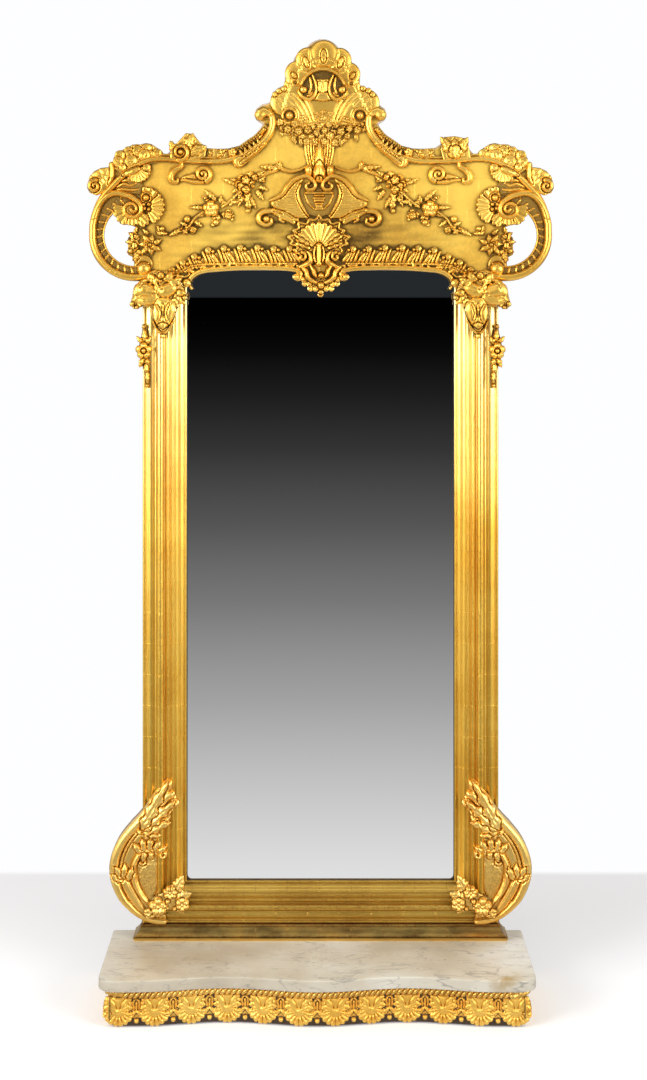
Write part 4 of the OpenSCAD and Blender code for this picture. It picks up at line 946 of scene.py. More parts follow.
# ---------------------------------------------------------------------------
# The top scrolls: the long rim of the crest, which leaves the C scroll, rises to run
# level and then climbs in a hollow to a curl beside the shell.
r = Relief(-590, -106, 2030, 2300)
rim = [(-584, 2022), (-576, 2042), (-562, 2063), (-548, 2078), (-533, 2094), (-517, 2110), (-501, 2123),
       (-486, 2134), (-470, 2143), (-454, 2150), (-438, 2154), (-420, 2156), (-400, 2156), (-360, 2152),
       (-300, 2149), (-262, 2150), (-236, 2154), (-205, 2163), (-176, 2179), (-154, 2196), (-140, 2210),
       (-130, 2226), (-125, 2244), (-126, 2262), (-134, 2275), (-147, 2281), (-159, 2278)]
r.tube([(x + 1, z - 5) for x, z in rim[3:23]], [3, 5, 5, 5, 5, 4], 2.5, [3, 3])
r.tube(rim, [7.5, 8, 7.5] + [7] * 6 + [7.5, 8.5, 9.5, 9.5, 8], 6, [9] * 6 + [10, 12, 12])
r.tube([(x, z + 10) for x, z in rim[10:16]], [1.5, 3, 3, 3, 1.5], 4, [4, 4])
r.tube([(-136, 2276), (-148, 2279), (-157, 2270)], [10, 13, 15], 6, [10, 12, 13], 0.2)
r.groove([(-138, 2238), (-139, 2250), (-146, 2259)], 2.0, 7)
r.tube([(-513, 2113), (-500, 2117), (-486, 2123), (-474, 2129)], [3, 8, 9.5, 7], 8, [5, 9, 11, 8])
plant_pair("top_scroll", r)

# ---------------------------------------------------------------------------
# The ear leaves: a smooth curled leaf at each outer corner of the crest, with a
# spiral eye below and a nub on top.
r = Relief(-612, -530, 2050, 2156)
r.plate([(-608, 2081), (-601, 2110), (-588, 2124), (-571, 2132), (-552, 2134), (-551, 2145), (-544, 2148),
         (-538, 2141), (-535, 2125), (-536, 2104), (-545, 2088), (-560, 2070), (-583, 2060), (-601, 2067)],
        12, 16, 2)
for path in ([(-594, 2112), (-580, 2106), (-566, 2094)], [(-576, 2126), (-566, 2112), (-556, 2098)],
             [(-556, 2130), (-553, 2112), (-549, 2098)]):
    r.groove(path, 2.0, 2.2)
r.tube([(-544, 2143), (-542, 2128), (-543, 2106), (-550, 2092)], [5, 6.5, 6, 4], 6, [10, 11, 10, 6], 0.4)
r.tube(curl(-588, 2084, 16, 75, 1.45, 0.12, 36), [5.5, 5.5, 5.5, 5, 4, 3], 7, [11, 12, 12, 12, 12, 11],
       0.55)
plant_pair("ear_leaf", r)

# ---------------------------------------------------------------------------
# The scale ruffle, a frill of overlapping dished scales behind the rise of the rim. It
# is carved in one strip, which is glued to the board.
r = Relief(-546, -398, 2116, 2204)
r.plate([(-536, 2128), (-541, 2146), (-539, 2158), (-531, 2170), (-518, 2178), (-501, 2186), (-489, 2193),
         (-470, 2193), (-454, 2197), (-440, 2194), (-426, 2185), (-413, 2176), (-406, 2165), (-420, 2156),
         (-460, 2146), (-500, 2122), (-520, 2118)], 7, 5, 0, 0.15)
for x, z, size, turn in ((-478, 2184, 10, 0), (-500, 2176, 12, 90), (-424, 2170, 12, 0),
                         (-451, 2182, 14, 200), (-522, 2164, 14, 20), (-476, 2175, 14, 40),
                         (-497, 2166, 10, 120), (-527, 2147, 14, 10), (-440, 2167, 10, 80),
                         (-458, 2164, 16, 300), (-492, 2149, 17, 70), (-515, 2133, 10, 200)):
    r.scale(x, z, size, 8, turn)
plant_pair("scale_ruffle", r)

# ---------------------------------------------------------------------------
# The corner shells, inside each C scroll: a dark leafy hollow, a ribbed fan under
# the volute, and a shell that spreads from a curl and a string of pearls.
r = Relief(-548, -396, 1970, 2112)
r.plate([(-545, 2066), (-520, 2094), (-500, 2110), (-486, 2106), (-464, 2092), (-456, 2074), (-470, 2062),
         (-500, 2066)], 5, 4, 0, 0.7)
for start, end, reach, ribs in ((168, 252, 52, 4), (294, 336, 60, 3), (250, 298, 47, 3)):
    r.fan(-490, 2027, reach, start, end, ribs, 4, 8, 0.12, 2.5, 14, 0.10, 0.22)
r.fan(-458, 2032, 53, -66, 44, 7, 5, 12, 0.10, 4, 0, 0.03, 0.26)
r.fan(-460, 2030, 55, 42, 96, 3, 5, 12, 0.12, 6, 0, 0.06, 0.24)
for path in ([(-540, 2070), (-520, 2076), (-496, 2074), (-474, 2076)],
             [(-530, 2082), (-512, 2090), (-494, 2086), (-480, 2092)],
             [(-516, 2098), (-504, 2100), (-490, 2098)]):
    r.tube(path, [2, 4.5, 4, 2], 3, [3, 6, 6, 3], 0.5)
r.scale(-454, 2054, 15, 6, 0, 6)
r.ball(-454, 2054, 8.5, 11, 9)
for x, z in ((-459, 2036), (-447, 2037), (-456, 2026), (-447, 2024)):
    r.ball(x, z, 5, 9, 9)
plant_pair("corner_shell", r)

# A small ribbed shell on each side, which hangs under the rim above the corner
# shell, with one end curled.
r = Relief(-524, -434, 2088, 2152)
r.fan(-477, 2129, 37, -138, 22, 9, 5, 11, 0.10, 4, 0, 0.04, 0.28)
r.scale(-452, 2133, 10, 6, 0, 7)
plant_pair("small_shell", r, replaced=["small_shells"])

# ---------------------------------------------------------------------------
# A rose on the left shoulder and a bud on the right, each with a leaf, stand above
# the rim where the hanging scrolls begin.
ROSE_BACK = 68.3
r = Relief(-400, -285, 2142, 2238)
r.plate([(-392, 2150), (-390, 2180), (-370, 2200), (-350, 2222), (-330, 2220), (-315, 2200), (-296, 2183),
         (-300, 2160), (-330, 2148)], 5, 5)
r.leaf(-345, 2172, 12, 52, 30, 10, 0.1)
r.leaf(-350, 2180, 62, 46, 30, 10, 0.05)
r.leaf(-375, 2172, 125, 34, 24, 8, -0.1)
r.tube(curl(-364, 2172, 22, 250, 1.6, 0.15, 40), [6, 6, 5, 4], 6, [9, 10, 12])
r.ball(-364, 2172, 7, 12, 8)
plant("left_rose", r, ROSE_BACK)
r = Relief(292, 402, 2142, 2232)
r.plate([(392, 2152), (385, 2190), (378, 2208), (350, 2214), (322, 2212), (312, 2180), (320, 2150)], 5, 5)
r.leaf(352, 2160, 122, 66, 34, 11, 0.1)
r.leaf(352, 2160, 64, 60, 32, 11, -0.1)
r.leaf(350, 2156, 92, 52, 30, 13, 0)
r.flower(350, 2172, 19, 12)
plant("right_bud", r, ROSE_BACK)

# ---------------------------------------------------------------------------
# The hanging scrolls: an S scroll under the rim on each side, from a hook near the
# corner to a large spiral above the pleats.
r = Relief(-402, -268, 2080, 2160)
r.tube([(-366, 2100), (-349, 2104), (-332, 2106), (-316, 2106)], [3, 8, 11, 12], 3, [3, 6, 7, 7], 0.3)
r.tube([(-371, 2100), (-350, 2100), (-333, 2096), (-316, 2095), (-300, 2098), (-288, 2108)],
       [2, 4, 5, 6, 6, 5], 5, [5, 8, 10, 11, 12, 12])
r.tube(curl(-306, 2115, 21, 300, 1.7, 0.1, 44), [6, 6, 6, 5.5, 5, 4.5, 4], 6, [11, 12, 12, 12, 12, 13, 14],
       0.65)
r.tube([(-360, 2144), (-364, 2134), (-378, 2126), (-387, 2114), (-388, 2102), (-382, 2095), (-374, 2095),
        (-371, 2102)], [5, 6.5, 8, 8.5, 8.5, 7.5, 5.5, 4], 6, [9, 10, 11, 12, 12, 10, 9, 7], 0.6)
plant_pair("hanging_scroll", r)

# The leaf band outside the rim, a dark hollow with leaf ends and a blossom in it, and
# the leaf that lies over the rim where it starts to climb.
r = Relief(-304, -122, 2122, 2262)
band_edge = [(-296, 2184), (-268, 2182), (-240, 2183), (-212, 2190), (-191, 2205), (-170, 2219),
             (-156, 2235), (-144, 2248)]
r.plate(band_edge + [(-132, 2232), (-146, 2206), (-176, 2182), (-205, 2167), (-236, 2158), (-262, 2154),
                     (-298, 2154)], 3.5, 2, 0, 0.35)
r.tube([(x + 1, z - 4) for x, z in band_edge[1:4]], [2, 2.4, 2], 3, [4, 4])
for x, z, angle, long in ((-292, 2162, 50, 20), (-282, 2166, 130, 16), (-270, 2164, 20, 18),
                          (-258, 2162, 75, 16), (-248, 2176, 190, 16)):
    r.leaf(x, z, angle, long, 9, 6, 0.1, 2, 3)
for place_on_edge in range(12):
    (x, z), (ahead_x, ahead_z) = smooth(band_edge[3:], 1.0)[7 * place_on_edge + 2:7 * place_on_edge + 4]
    run = math.degrees(math.atan2(ahead_z - z, ahead_x - x))
    r.leaf(x + 1, z - 5, run - 62, 15, 8, 8, 0.0, 1, 4)
    if place_on_edge < 9:
        r.leaf(x + 5, z - 12, run - 20, 14, 8, 7, 0.1, 1, 4)
r.flower(-229, 2172, 13, 11, 5, 10, 5)
r.plate([(-138, 2196), (-150, 2182), (-166, 2167), (-182, 2155), (-196, 2141), (-210, 2131), (-222, 2134),
         (-229, 2145), (-226, 2157), (-210, 2168), (-190, 2180), (-170, 2192), (-154, 2202)], 21, 9)
r.tube([(-150, 2188), (-170, 2172), (-190, 2157), (-206, 2144)], [2, 3, 4, 4], 18, [3, 4, 5, 5], 0.2)
for x, z, angle in ((-204, 2162, 104), (-192, 2169, 106), (-180, 2177, 108), (-168, 2184, 110),
                    (-157, 2191, 112)):
    r.leaf(x, z, angle, 20, 11, 9, 0.1, 1, 13)
for x, z in ((-198, 2170), (-186, 2177), (-174, 2185), (-162, 2192)):
    r.groove([(x, z), (x + 5, z - 11)], 1.3, 6)
plant_pair("leaf_band", r, replaced=[])

# ---------------------------------------------------------------------------
# The garlands: on each side two sprays of flowers and saw-edged leaves, joined by a
# stem, with a tail of small leaves.
r = Relief(-402, -34, 1946, 2150)
r.tube([(-40, 2134), (-56, 2126), (-78, 2123), (-98, 2128), (-110, 2138), (-108, 2146)],
       [2.4, 3.2, 4, 4.6, 4.6, 3.6], 5, [6, 8, 9])
r.leaf(-104, 2128, 96, 20, 12, 8, 0.0, 2, 5)
r.tube([(-112, 2126), (-135, 2120), (-152, 2112), (-166, 2104)], [3, 5, 5, 4], 5, [7, 8])
r.leaf(-112, 2130, 168, 46, 17, 9, 0.1, 4, 5, 0.25)
for x, z, angle, long, wide, bend in (
        (-218, 2088, 152, 42, 15, 0.1), (-214, 2098, 168, 24, 10, 0.0), (-212, 2080, 215, 22, 12, 0.0),
        (-172, 2110, 22, 30, 12, 0.1), (-168, 2102, 352, 26, 12, -0.1), (-160, 2096, 40, 22, 10, 0.0),
        (-206, 2070, 250, 22, 12, 0.0), (-190, 2072, 272, 58, 22, 0.05), (-200, 2058, 236, 32, 11, 0.1),
        (-182, 2056, 300, 34, 11, -0.1), (-168, 2074, 312, 34, 16, -0.1), (-160, 2084, 335, 26, 13, 0.0),
        (-238, 2030, 58, 50, 9, 0.05), (-246, 2030, 122, 30, 15, 0.0), (-243, 2024, 296, 34, 20, 0.0),
        (-228, 2040, 20, 20, 10, 0.0), (-272, 2046, 130, 42, 15, 0.1), (-290, 2044, 140, 24, 11, 0.0),
        (-262, 2040, 80, 22, 11, 0.0), (-304, 2028, 176, 36, 13, 0.05), (-298, 2014, 200, 24, 12, 0.0),
        (-264, 2010, 238, 36, 22, 0.0), (-272, 2016, 262, 26, 14, 0.0), (-256, 2016, 312, 24, 14, 0.0),
        (-328, 1994, 322, 26, 13, 0.0), (-336, 1990, 250, 22, 10, 0.0), (-346, 1980, 150, 24, 12, 0.0),
        (-356, 1974, 196, 24, 11, 0.0), (-364, 1970, 204, 34, 14, 0.05), (-340, 1974, 300, 18, 10, 0.0)):
    r.leaf(x, z, angle, long, wide, 9, bend, 4 if long > 28 else 3, 3.5, 0.24)
r.tube([(-198, 2078), (-216, 2064), (-238, 2044), (-256, 2030)], [3, 3, 3], 4, [5, 5])
r.tube([(-298, 2022), (-316, 2010), (-330, 1998), (-339, 1984), (-352, 1973), (-364, 1966)], [3, 3, 2.5, 2],
       4, [5, 5])
for x, z, size, petals, lift in ((-205, 2106, 10, 4, 6), (-182, 2114, 10, 4, 7), (-171, 2106, 9, 4, 7),
                                 (-213, 2090, 10, 4, 6), (-184, 2092, 13, 5, 9), (-205, 2084, 11, 5, 8),
                                 (-193, 2075, 11, 4, 8), (-194, 2100, 12, 5, 9), (-285, 2025, 22, 5, 7),
                                 (-240, 2008, 10, 4, 6), (-331, 1971, 9, 4, 5), (-352, 1966, 8, 4, 5)):
    r.flower(x, z, size, 12, petals, x * 7, lift)
for x, z, size in ((-347, 1999, 8), (-189, 2020, 6), (-272, 1990, 7), (-300, 2054, 4), (-176, 2084, 5)):
    r.ball(x, z, size, size, 6)
plant_pair("garland", r)

# ---------------------------------------------------------------------------
# Inside each C scroll, an open flower of narrow petals beside a spray of leaves, and
# the ball in its cup that closes the lower end of the scroll.
r = Relief(-512, -392, 1846, 1992)
r.plate(around(-461, 1881, 24, 0, 346, 25), 7, 8, 0, 0.35)
r.ball(-460, 1869, 18, 17, 5)
for x, z, angle, long, wide in ((-474, 1926, 200, 34, 20), (-474, 1938, 172, 34, 20),
                                (-472, 1946, 142, 34, 18), (-468, 1918, 228, 36, 18),
                                (-476, 1910, 250, 26, 14), (-486, 1960, 60, 22, 12),
                                (-488, 1940, 96, 26, 14), (-424, 1958, 50, 28, 17),
                                (-418, 1966, 110, 18, 13), (-416, 1962, 350, 18, 12),
                                (-448, 1958, 130, 22, 12)):
    r.leaf(x, z, angle, long, wide, 10, 0.1, 3, 3, 0.22)
for k, long in enumerate((34, 28, 32, 30, 34, 28, 33)):
    r.leaf(-444, 1932, 18 + 51.4 * k, long, 16, 9, 0.10, 2, 5, 0.2)
r.ball(-444, 1932, 5, 6, 5)
r.hollow(around(-444, 1932, 3, 0, 330, 11), 6, 2, soot_and_shade=0.5)
for x, z, size in ((-484, 1930, 7), (-494, 1915, 6), (-480, 1953, 6), (-412, 1974, 6)):
    r.ball(x, z, size, size, 5)
plant_pair("corner_flowers", r)

# ---------------------------------------------------------------------------
# The shell that crowns the crest: domed lobes, with a keyhole flute in each of the
# upper ones, over two wings whose ribs sweep down to the flowers.
r = Relief(-140, 166, 2236, 2474)
lobes = ((9, 2428, 37, 14), (-33, 2414, 32, 12), (49, 2413, 32, 12), (-60, 2378, 33, 11),
         (72, 2376, 32, 11), (-70, 2346, 26, 9), (78, 2344, 26, 9), (-96, 2303, 35, 10),
         (116, 2301, 38, 10))
for x, z, size, tall in reversed(lobes):
    r.plate(around(x, z, size, 0, 346, 25), tall, 20, 0)
r.plate([(-94, 2262), (-100, 2250), (-60, 2240), (-8, 2246), (40, 2244), (90, 2240), (122, 2254),
         (116, 2290), (90, 2340), (60, 2400), (8, 2420), (-44, 2400), (-80, 2340), (-96, 2290)], 8, 6)
r.soften(0.6)
for x, z, angle, long, wide in ((8, 2403, 90, 38, 8), (-32, 2392, 110, 32, 7.5), (47, 2391, 70, 32, 7.5),
                                (-62, 2364, 128, 22, 7), (77, 2363, 52, 22, 7)):
    c, s = math.cos(math.radians(angle)), math.sin(math.radians(angle))
    oval = [(along * long * 0.5 * c - across * wide * s, along * long * 0.5 * s + across * wide * c)
            for along, across in ((1 - math.cos(a), math.sin(a)) for a in np.linspace(0, 6.28, 25))]
    r.groove([(x + u, z + v) for u, v in oval], 1.5, 5)
    r.tube([(x + long * 0.25 * c, z + long * 0.25 * s), (x + long * 0.75 * c, z + long * 0.75 * s)],
           [3.5, 3.5], 9, [4, 4], 0)
for x, z in ((-66, 2354), (80, 2351)):
    r.tube(around(x, z, 7, 0, 350, 14), [1.8, 1.8], 10, [3, 3], 0)
    r.hollow(around(x, z, 4, 0, 330, 10), 5)
for x0, z0, x1, z1, x2, z2 in ((-58, 2330, -32, 2300, -16, 2254), (-70, 2326, -42, 2296, -24, 2252),
                               (-84, 2320, -54, 2292, -34, 2254)):
    for sign, shift in ((1, 0), (-1, 16.5)):
        r.tube([(shift + sign * x0, z0), (shift + sign * x1, z1), (shift + sign * x2, z2)], [2, 4, 3.5], 7,
               [1.5, 3.5, 4], 0.1)
for x0, z0, x1, z1 in ((-108, 2312, -78, 2284), (-98, 2322, -70, 2298), (-114, 2298, -92, 2282)):
    for sign, shift in ((1, 0), (-1, 20)):
        r.groove([(shift + sign * x0, z0), (shift + sign * x1, z1)], 1.6, 1.6)
for x in (-81, 103):
    r.hollow(around(x, 2268, 16, 0, 345, 20), 3)
    r.ball(x, 2268, 10, 12, 6)
    r.tube(around(x, 2268, 18, -20 if x < 0 else 0, 200, 18), [3, 3.5, 3], 7, [4, 4], 0.3)
for x, z in ((-119, 2324), (-108, 2333), (-95, 2338), (136, 2324), (125, 2334), (111, 2339)):
    r.ball(x, z, 7, 4, 5)
plant("crest_shell", r)

# The hood in the middle of the shell: an arched band over a dark hollow, whose ends
# roll in to balls on both sides of a waisted spool.
HOOD_X, HOOD_BACK = 6, 68


def mirrored(side, centre, *spots):
    """Places given by how far they lie beside a centre line, on one side of it."""
    return [(centre + side * x, z) for x, z in spots]


r = Relief(-66, 76, 2300, 2396)
r.plate([(-58, 2330), (-50, 2360), (-30, 2382), (6, 2390), (42, 2382), (62, 2360), (70, 2330), (60, 2308),
         (6, 2304), (-48, 2308)], 3, 3, 0, 0.85)
r.plate([(-16, 2362), (28, 2362), (20, 2345), (24, 2327), (44, 2312), (6, 2308), (-32, 2312), (-12, 2327),
         (-8, 2345)], 14, 12)
r.plate([(-24, 2330), (-44, 2314), (6, 2304), (56, 2314), (36, 2330), (6, 2324)], 12, 8)
r.tube(around(HOOD_X, 2329, 59, 164, 16, 40), [4, 5, 5.2, 5, 4], 8, [6, 8, 8, 8, 6])
for side in (-1, 1):
    r.tube(mirrored(side, HOOD_X, (57, 2340), (60, 2328), (52, 2315), (36, 2309), (24, 2316), (17, 2332),
                    (18, 2350), (27, 2372)), [4.5, 4.5, 4.8, 4.8, 4.5, 4.2, 4, 2.5], 8,
           [7, 8, 8, 8, 8, 7, 5])
    r.ball(HOOD_X + side * 50, 2334, 9, 10, 7)
    r.tube(mirrored(side, HOOD_X, (34, 2366), (30, 2345), (36, 2326)), [3, 4, 3], 4, [3, 3])
for x in (-2, 14):
    r.tube([(x, 2352), (x, 2332)], [5, 4], 12, [4, 3], 0.2)
plant("shell_cartouche", r, HOOD_BACK)

# ---------------------------------------------------------------------------
# The flower band, a thick garland of small blossoms under the shell, and the ribbed
# fringe that falls from its middle.
draw = np.random.default_rng(7)
r = Relief(-122, 122, 2186, 2294)
spots = []
for z, half, count in ((2246, 106, 11), (2232, 98, 10), (2217, 68, 7), (2203, 38, 4)):
    for i in range(count):
        x = -half + 2 * half * i / (count - 1) + draw.uniform(-3, 3)
        spots.append((x, z + draw.uniform(-4, 4) - 6 * math.cos(x / 60), 10.5 + draw.uniform(-2.5, 2)))
for x, z in ((-10, 2270), (8, 2276), (26, 2272), (-2, 2258), (16, 2260), (32, 2256), (8, 2262)):
    spots.append((x, z, 9))
for x, z, size in spots:
    r.leaf(x, z, draw.uniform(190, 350), 21, 13, 7, draw.uniform(-0.3, 0.3), 2)
for x, z, size in spots:
    r.flower(x, z, size, 9 + draw.uniform(-2, 3), 5, draw.uniform(0, 72), 2 + draw.uniform(0, 3))
for x, z, size in ((-45, 2258, 15), (64, 2254, 14), (-86, 2232, 11), (96, 2230, 11)):
    r.flower(x, z, size, 12, 6, draw.uniform(0, 60))
for x, z in ((-52, 2200), (52, 2199), (92, 2212), (-70, 2208)):
    r.leaf(x, z + 8, 270, 20, 13, 8, 0.1, 2)
# The whole band is made a little darker.
r.soot_and_shade[:] = np.maximum(r.soot_and_shade, 0.25)
plant("flower_band", r)

# The fringe, a short row of ribs that draws together as it falls.
r = Relief(-54, 46, 2128, 2216)
r.plate([(-44, 2212), (36, 2212), (32, 2170), (24, 2134), (-32, 2134), (-40, 2170)], 4, 3, 0, 0.7)
for i in range(11):
    x = -40 + 7.4 * i
    r.tube([(x, 2208), (x * 0.94 - 0.2, 2172), (x * 0.74 - 1, 2138)], [3.0, 2.8, 2.2], 3,
           [3.4 + 1.6 * (i % 2)] * 2, 0.35)
plant("fringe", r)

# A tulip bud between two round berries, which stands over the place where the
# lyre's arms meet.
r = Relief(-48, 42, 2090, 2204)
for side in (-1, 1):
    r.ball(-3 + side * 24, 2126, 15, 15, 6)
    r.leaf(-3 + side * 9, 2112, 90 - side * 3, 84, 18, 12, side * 0.10, 2, 5, 0.10)
r.leaf(-3, 2112, 90, 88, 24, 17, 0, 1, 7, 0.0)
r.leaf(-3, 2094, 90, 58, 33, 20, 0, 1, 8, 0.0)
r.ball(-3, 2101, 9, 10, 8)
plant("tulip_bud", r)

# ---------------------------------------------------------------------------
# The lyre in the middle of the crest: two scrolled arms with hatched cheeks round
# a sunk panel, in which a small urn hangs from a bar.
LYRE_X = -4
r = Relief(-176, 168, 1964, 2122)
for side in (-1, 1):
    r.plate(mirrored(side, LYRE_X, (127, 2046), (98, 2062), (80, 2084), (60, 2102), (36, 2108), (46, 2092),
                     (54, 2070), (48, 2043), (32, 2014), (28, 2000), (66, 2002), (98, 2012), (124, 2034)),
            12, 7)
    for z in range(2008, 2092, 6):
        inner = 52 - 0.36 * max(0, 2062 - z)
        r.groove(mirrored(side, LYRE_X, (inner, z + 2), ((inner + 106) / 2, z - 1), (108, z + 3)), 1.3, 2.4)
    r.plate(mirrored(side, LYRE_X, (60, 1996), (98, 2008), (126, 2030), (140, 2016), (124, 1996),
                     (84, 1990)), 3, 2, 0, 0.7)
r.plate([(-56, 2070), (-50, 2043), (-36, 2012), (-4, 2004), (28, 2012), (42, 2043), (48, 2070), (38, 2094),
         (-46, 2094)], 2.5, 3, 0, 0.6)
for side in (-1, 1):
    r.tube(mirrored(side, LYRE_X, (127, 2047), (97, 2062), (81, 2084), (61, 2103), (34, 2111), (16, 2100),
                    (9, 2086), (16, 2076), (29, 2076), (34, 2086), (26, 2092)),
           [3, 5, 6, 6.5, 6.5, 6, 6, 6, 5.5, 5, 4], 6, [6, 9, 10, 11, 12, 12, 12, 11, 10])
    r.tube(mirrored(side, LYRE_X, (48, 2088), (55, 2068), (49, 2043), (33, 2014), (27, 2006)),
           [2, 3.5, 4, 3.5, 2], 7, [5, 6, 6])
    r.tube(mirrored(side, LYRE_X, (56, 1996), (67, 1999), (89, 2010), (120, 2019), (146, 2017), (157, 2005),
                    (153, 1990), (138, 1983), (124, 1989), (124, 1999)), [4, 6, 7, 7, 7, 7, 7, 6, 5, 4], 6,
           [7, 10, 11, 11, 12, 12, 11, 10, 9])
    r.ball(LYRE_X + side * 137, 1999, 8, 10, 8)
    r.tube(mirrored(side, LYRE_X, (101, 2008), (100, 1997), (92, 1991)), [4.5, 5, 3], 5, [8, 8])
    r.tube(mirrored(side, LYRE_X, (118, 2014), (90, 2004), (66, 1990)), [4, 8, 5], 4, [8, 9, 6], 0.3)
r.tube([(-40, 2067), (32, 2067)], [3, 3], 5, [5, 5])
for z, wide, tall in ((2060, 10, 5), (2053, 13, 6), (2046, 11, 6), (2039, 8, 5), (2032, 6, 5),
                      (2025, 13, 5)):
    r.tube([(LYRE_X - wide, z), (LYRE_X + wide, z)], [3.2, 3.2], 4, [tall, tall], 0.3)
for side in (-1, 1):
    r.tube(mirrored(side, LYRE_X, (37, 2062), (27, 2040), (14, 2026)), [2.2, 2.8, 2], 3, [4, 4])
plant("lyre", r, replaced=["lyre_cartouche"])

# ---------------------------------------------------------------------------
# The palmette under the lyre, a fine-ribbed shell with a torn leafy edge, over the
# pendant that hangs into the opening.
r = Relief(-98, 92, 1868, 2020)
edge_points = [(-4, 2012), (-14, 1999), (-30, 2000), (-37, 1988), (-58, 1992), (-58, 1976), (-72, 1970),
               (-60, 1960), (-86, 1954), (-74, 1943), (-80, 1934), (-60, 1928), (-66, 1914), (-48, 1904),
               (-36, 1888), (-12, 1880)]
edge_points += [(2 * LYRE_X - x, z) for x, z in reversed(edge_points[1:])]
r.plate(edge_points, 6, 4, 0, 0.15)
half = len(edge_points) // 2
for line in (edge_points[:half], [edge_points[0]] + edge_points[:half:-1]):
    r.tube([(x * 0.97 - 0.1, 1928 + (z - 1928) * 0.96) for x, z in line],
           [3, 3.5, 3, 3.5, 3, 3.5, 3, 3.5, 3], 6, [5, 6, 5, 6, 5], 0.4)
r.fan(LYRE_X, 1922, 70, 14, 166, 11, 3, 14, 0.10, 5, 0, 0.10, 0.34)
for side in (-1, 1):
    for x, z, angle, long in ((20, 1922, 14, 48), (22, 1912, -10, 38), (24, 1930, 30, 52)):
        r.leaf(LYRE_X + side * x, z, angle if side > 0 else 180 - angle, long, 13, 8, side * 0.1, 3, 6,
               0.24)
for side in (-1, 1):
    r.tube(mirrored(side, LYRE_X, (34, 1914), (21, 1903), (24, 1886), (50, 1874)), [4, 8, 8, 4], 9,
           [8, 12, 12, 7])
    r.tube(curl(LYRE_X + side * 44, 1900, 12, 90, side * 0.9), [4.5, 4, 3.5], 8, [8, 9])
r.tube([(LYRE_X, z) for z in (1928, 1912, 1900, 1884)], [9, 7, 7, 10], 10, [10, 9, 9, 11])
for side in (-1, 1):
    r.tube(mirrored(side, LYRE_X, (10, 1926), (13, 1908), (10, 1888)), [3, 3.5, 3], 9, [6, 6])
plant("palmette", r)

# The pendant, a small drop with a frill of scales round its edge and crescents and
# beads inside it.
r = Relief(-70, 72, 1796, 1888)
rim_points = [(-64, 1880), (-62, 1866), (-56, 1858), (-58, 1846), (-46, 1842), (-44, 1830), (-32, 1828),
              (-28, 1816), (-14, 1816), (0, 1800)]
rim_points += [(2 - x, z) for x, z in reversed(rim_points[:-1])]
r.plate(rim_points, 6, 4, 0, 0.2)
for x, z in rim_points[1:-1]:
    r.scale(x * 0.93, 1840 + (z - 1840) * 0.93, 7.5, 7, math.degrees(math.atan2(z - 1866, x)), 5)
for side in (-1, 1):
    r.tube(mirrored(side, 1, (50, 1874), (38, 1862), (34, 1848), (22, 1838), (8, 1832)), [5, 7, 7, 6, 4], 7,
           [8, 11, 12, 11, 8])
    r.tube(mirrored(side, 1, (28, 1878), (20, 1866), (16, 1854), (4, 1846)), [4, 6, 6, 4], 8,
           [8, 12, 12, 9])
for z, size, tall, lift in ((1852, 8, 12, 10), (1826, 9, 11, 7), (1809, 6, 8, 6)):
    r.ball(1, z, size, tall, lift)
plant("pendant", r)

# ---------------------------------------------------------------------------
# The pleated bands over the opening: slanting ribs gathered in lobes, each with a
# curl on its top, which run down to the capitals.
r = Relief(-404, -54, 1846, 1944)
lobe_tops = ((-384, 1872, 26), (-356, 1892, 34), (-326, 1908, 40), (-290, 1924, 44), (-249, 1929, 46),
             (-207, 1931, 46), (-162, 1931, 46), (-120, 1928, 44), (-79, 1928, 42))
ground = [(-398, 1862), (-372, 1862), (-340, 1878), (-300, 1884), (-60, 1886), (-58, 1900), (-62, 1912)]
ground += [(x + dx, z - dz) for x, z, _ in reversed(lobe_tops)
           for dx, dz in ((17, 14), (6, 1), (-6, 1), (-17, 14))]
r.plate(ground, 5, 3, 0, 0.3)
for x, top, tall in lobe_tops:
    for k in range(4):
        start_x, foot_x = x - 15 + 8.5 * k, x - 6 + 10.2 * k
        top_z = top - 9 - 2.6 * abs(k - 1.2) ** 1.5
        r.tube([(start_x - 2, top_z + 1), (start_x + 2, top_z - 7),
                ((start_x + foot_x) / 2 + 1, top_z - 0.5 * tall * 0.75), (foot_x, top - tall + 4)],
               [3.2, 4.4, 5.2, 3.6], 4, [6, 10, 9, 6], 0.45)
    r.scale(x - 2, top - 7, 8.5, 8, 40, 7)
    r.ball(x + 10, top - 10, 4.5, 7, 7)
    r.tube(around(x, top - tall + 9, 19, 215, 325, 10), [2, 3, 2], 4, [4, 5, 4], 0.2)
r.tube([(-396, 1858), (-370, 1860), (-340, 1875), (-300, 1880), (-180, 1883), (-62, 1883)], [2.5, 2.5], 3,
       [3, 3])
plant_pair("pleated_band", r, right_shift=-4)

# ---------------------------------------------------------------------------
# The sight beads, a plain rolled edge over the arched top of the opening, with a
# small scroll at each end.
r = Relief(-366, -44, 1808, 1884)
r.tube([(-336, 1818), (-342, 1828), (-340, 1842), (-331, 1852), (-318, 1860), (-300, 1865), (-280, 1867),
        (-240, 1870), (-200, 1872), (-150, 1872.5), (-100, 1871), (-78, 1869), (-62, 1865), (-52, 1858),
        (-52, 1847), (-60, 1841)], [3, 5] + [6] * 12 + [5, 4], 5, [5, 6] + [7] * 7)
r.ball(-64, 1848, 8.5, 9, 6)
r.ball(-350, 1832, 11, 9, 5)
plant_pair("sight_bead", r, right_shift=-2)

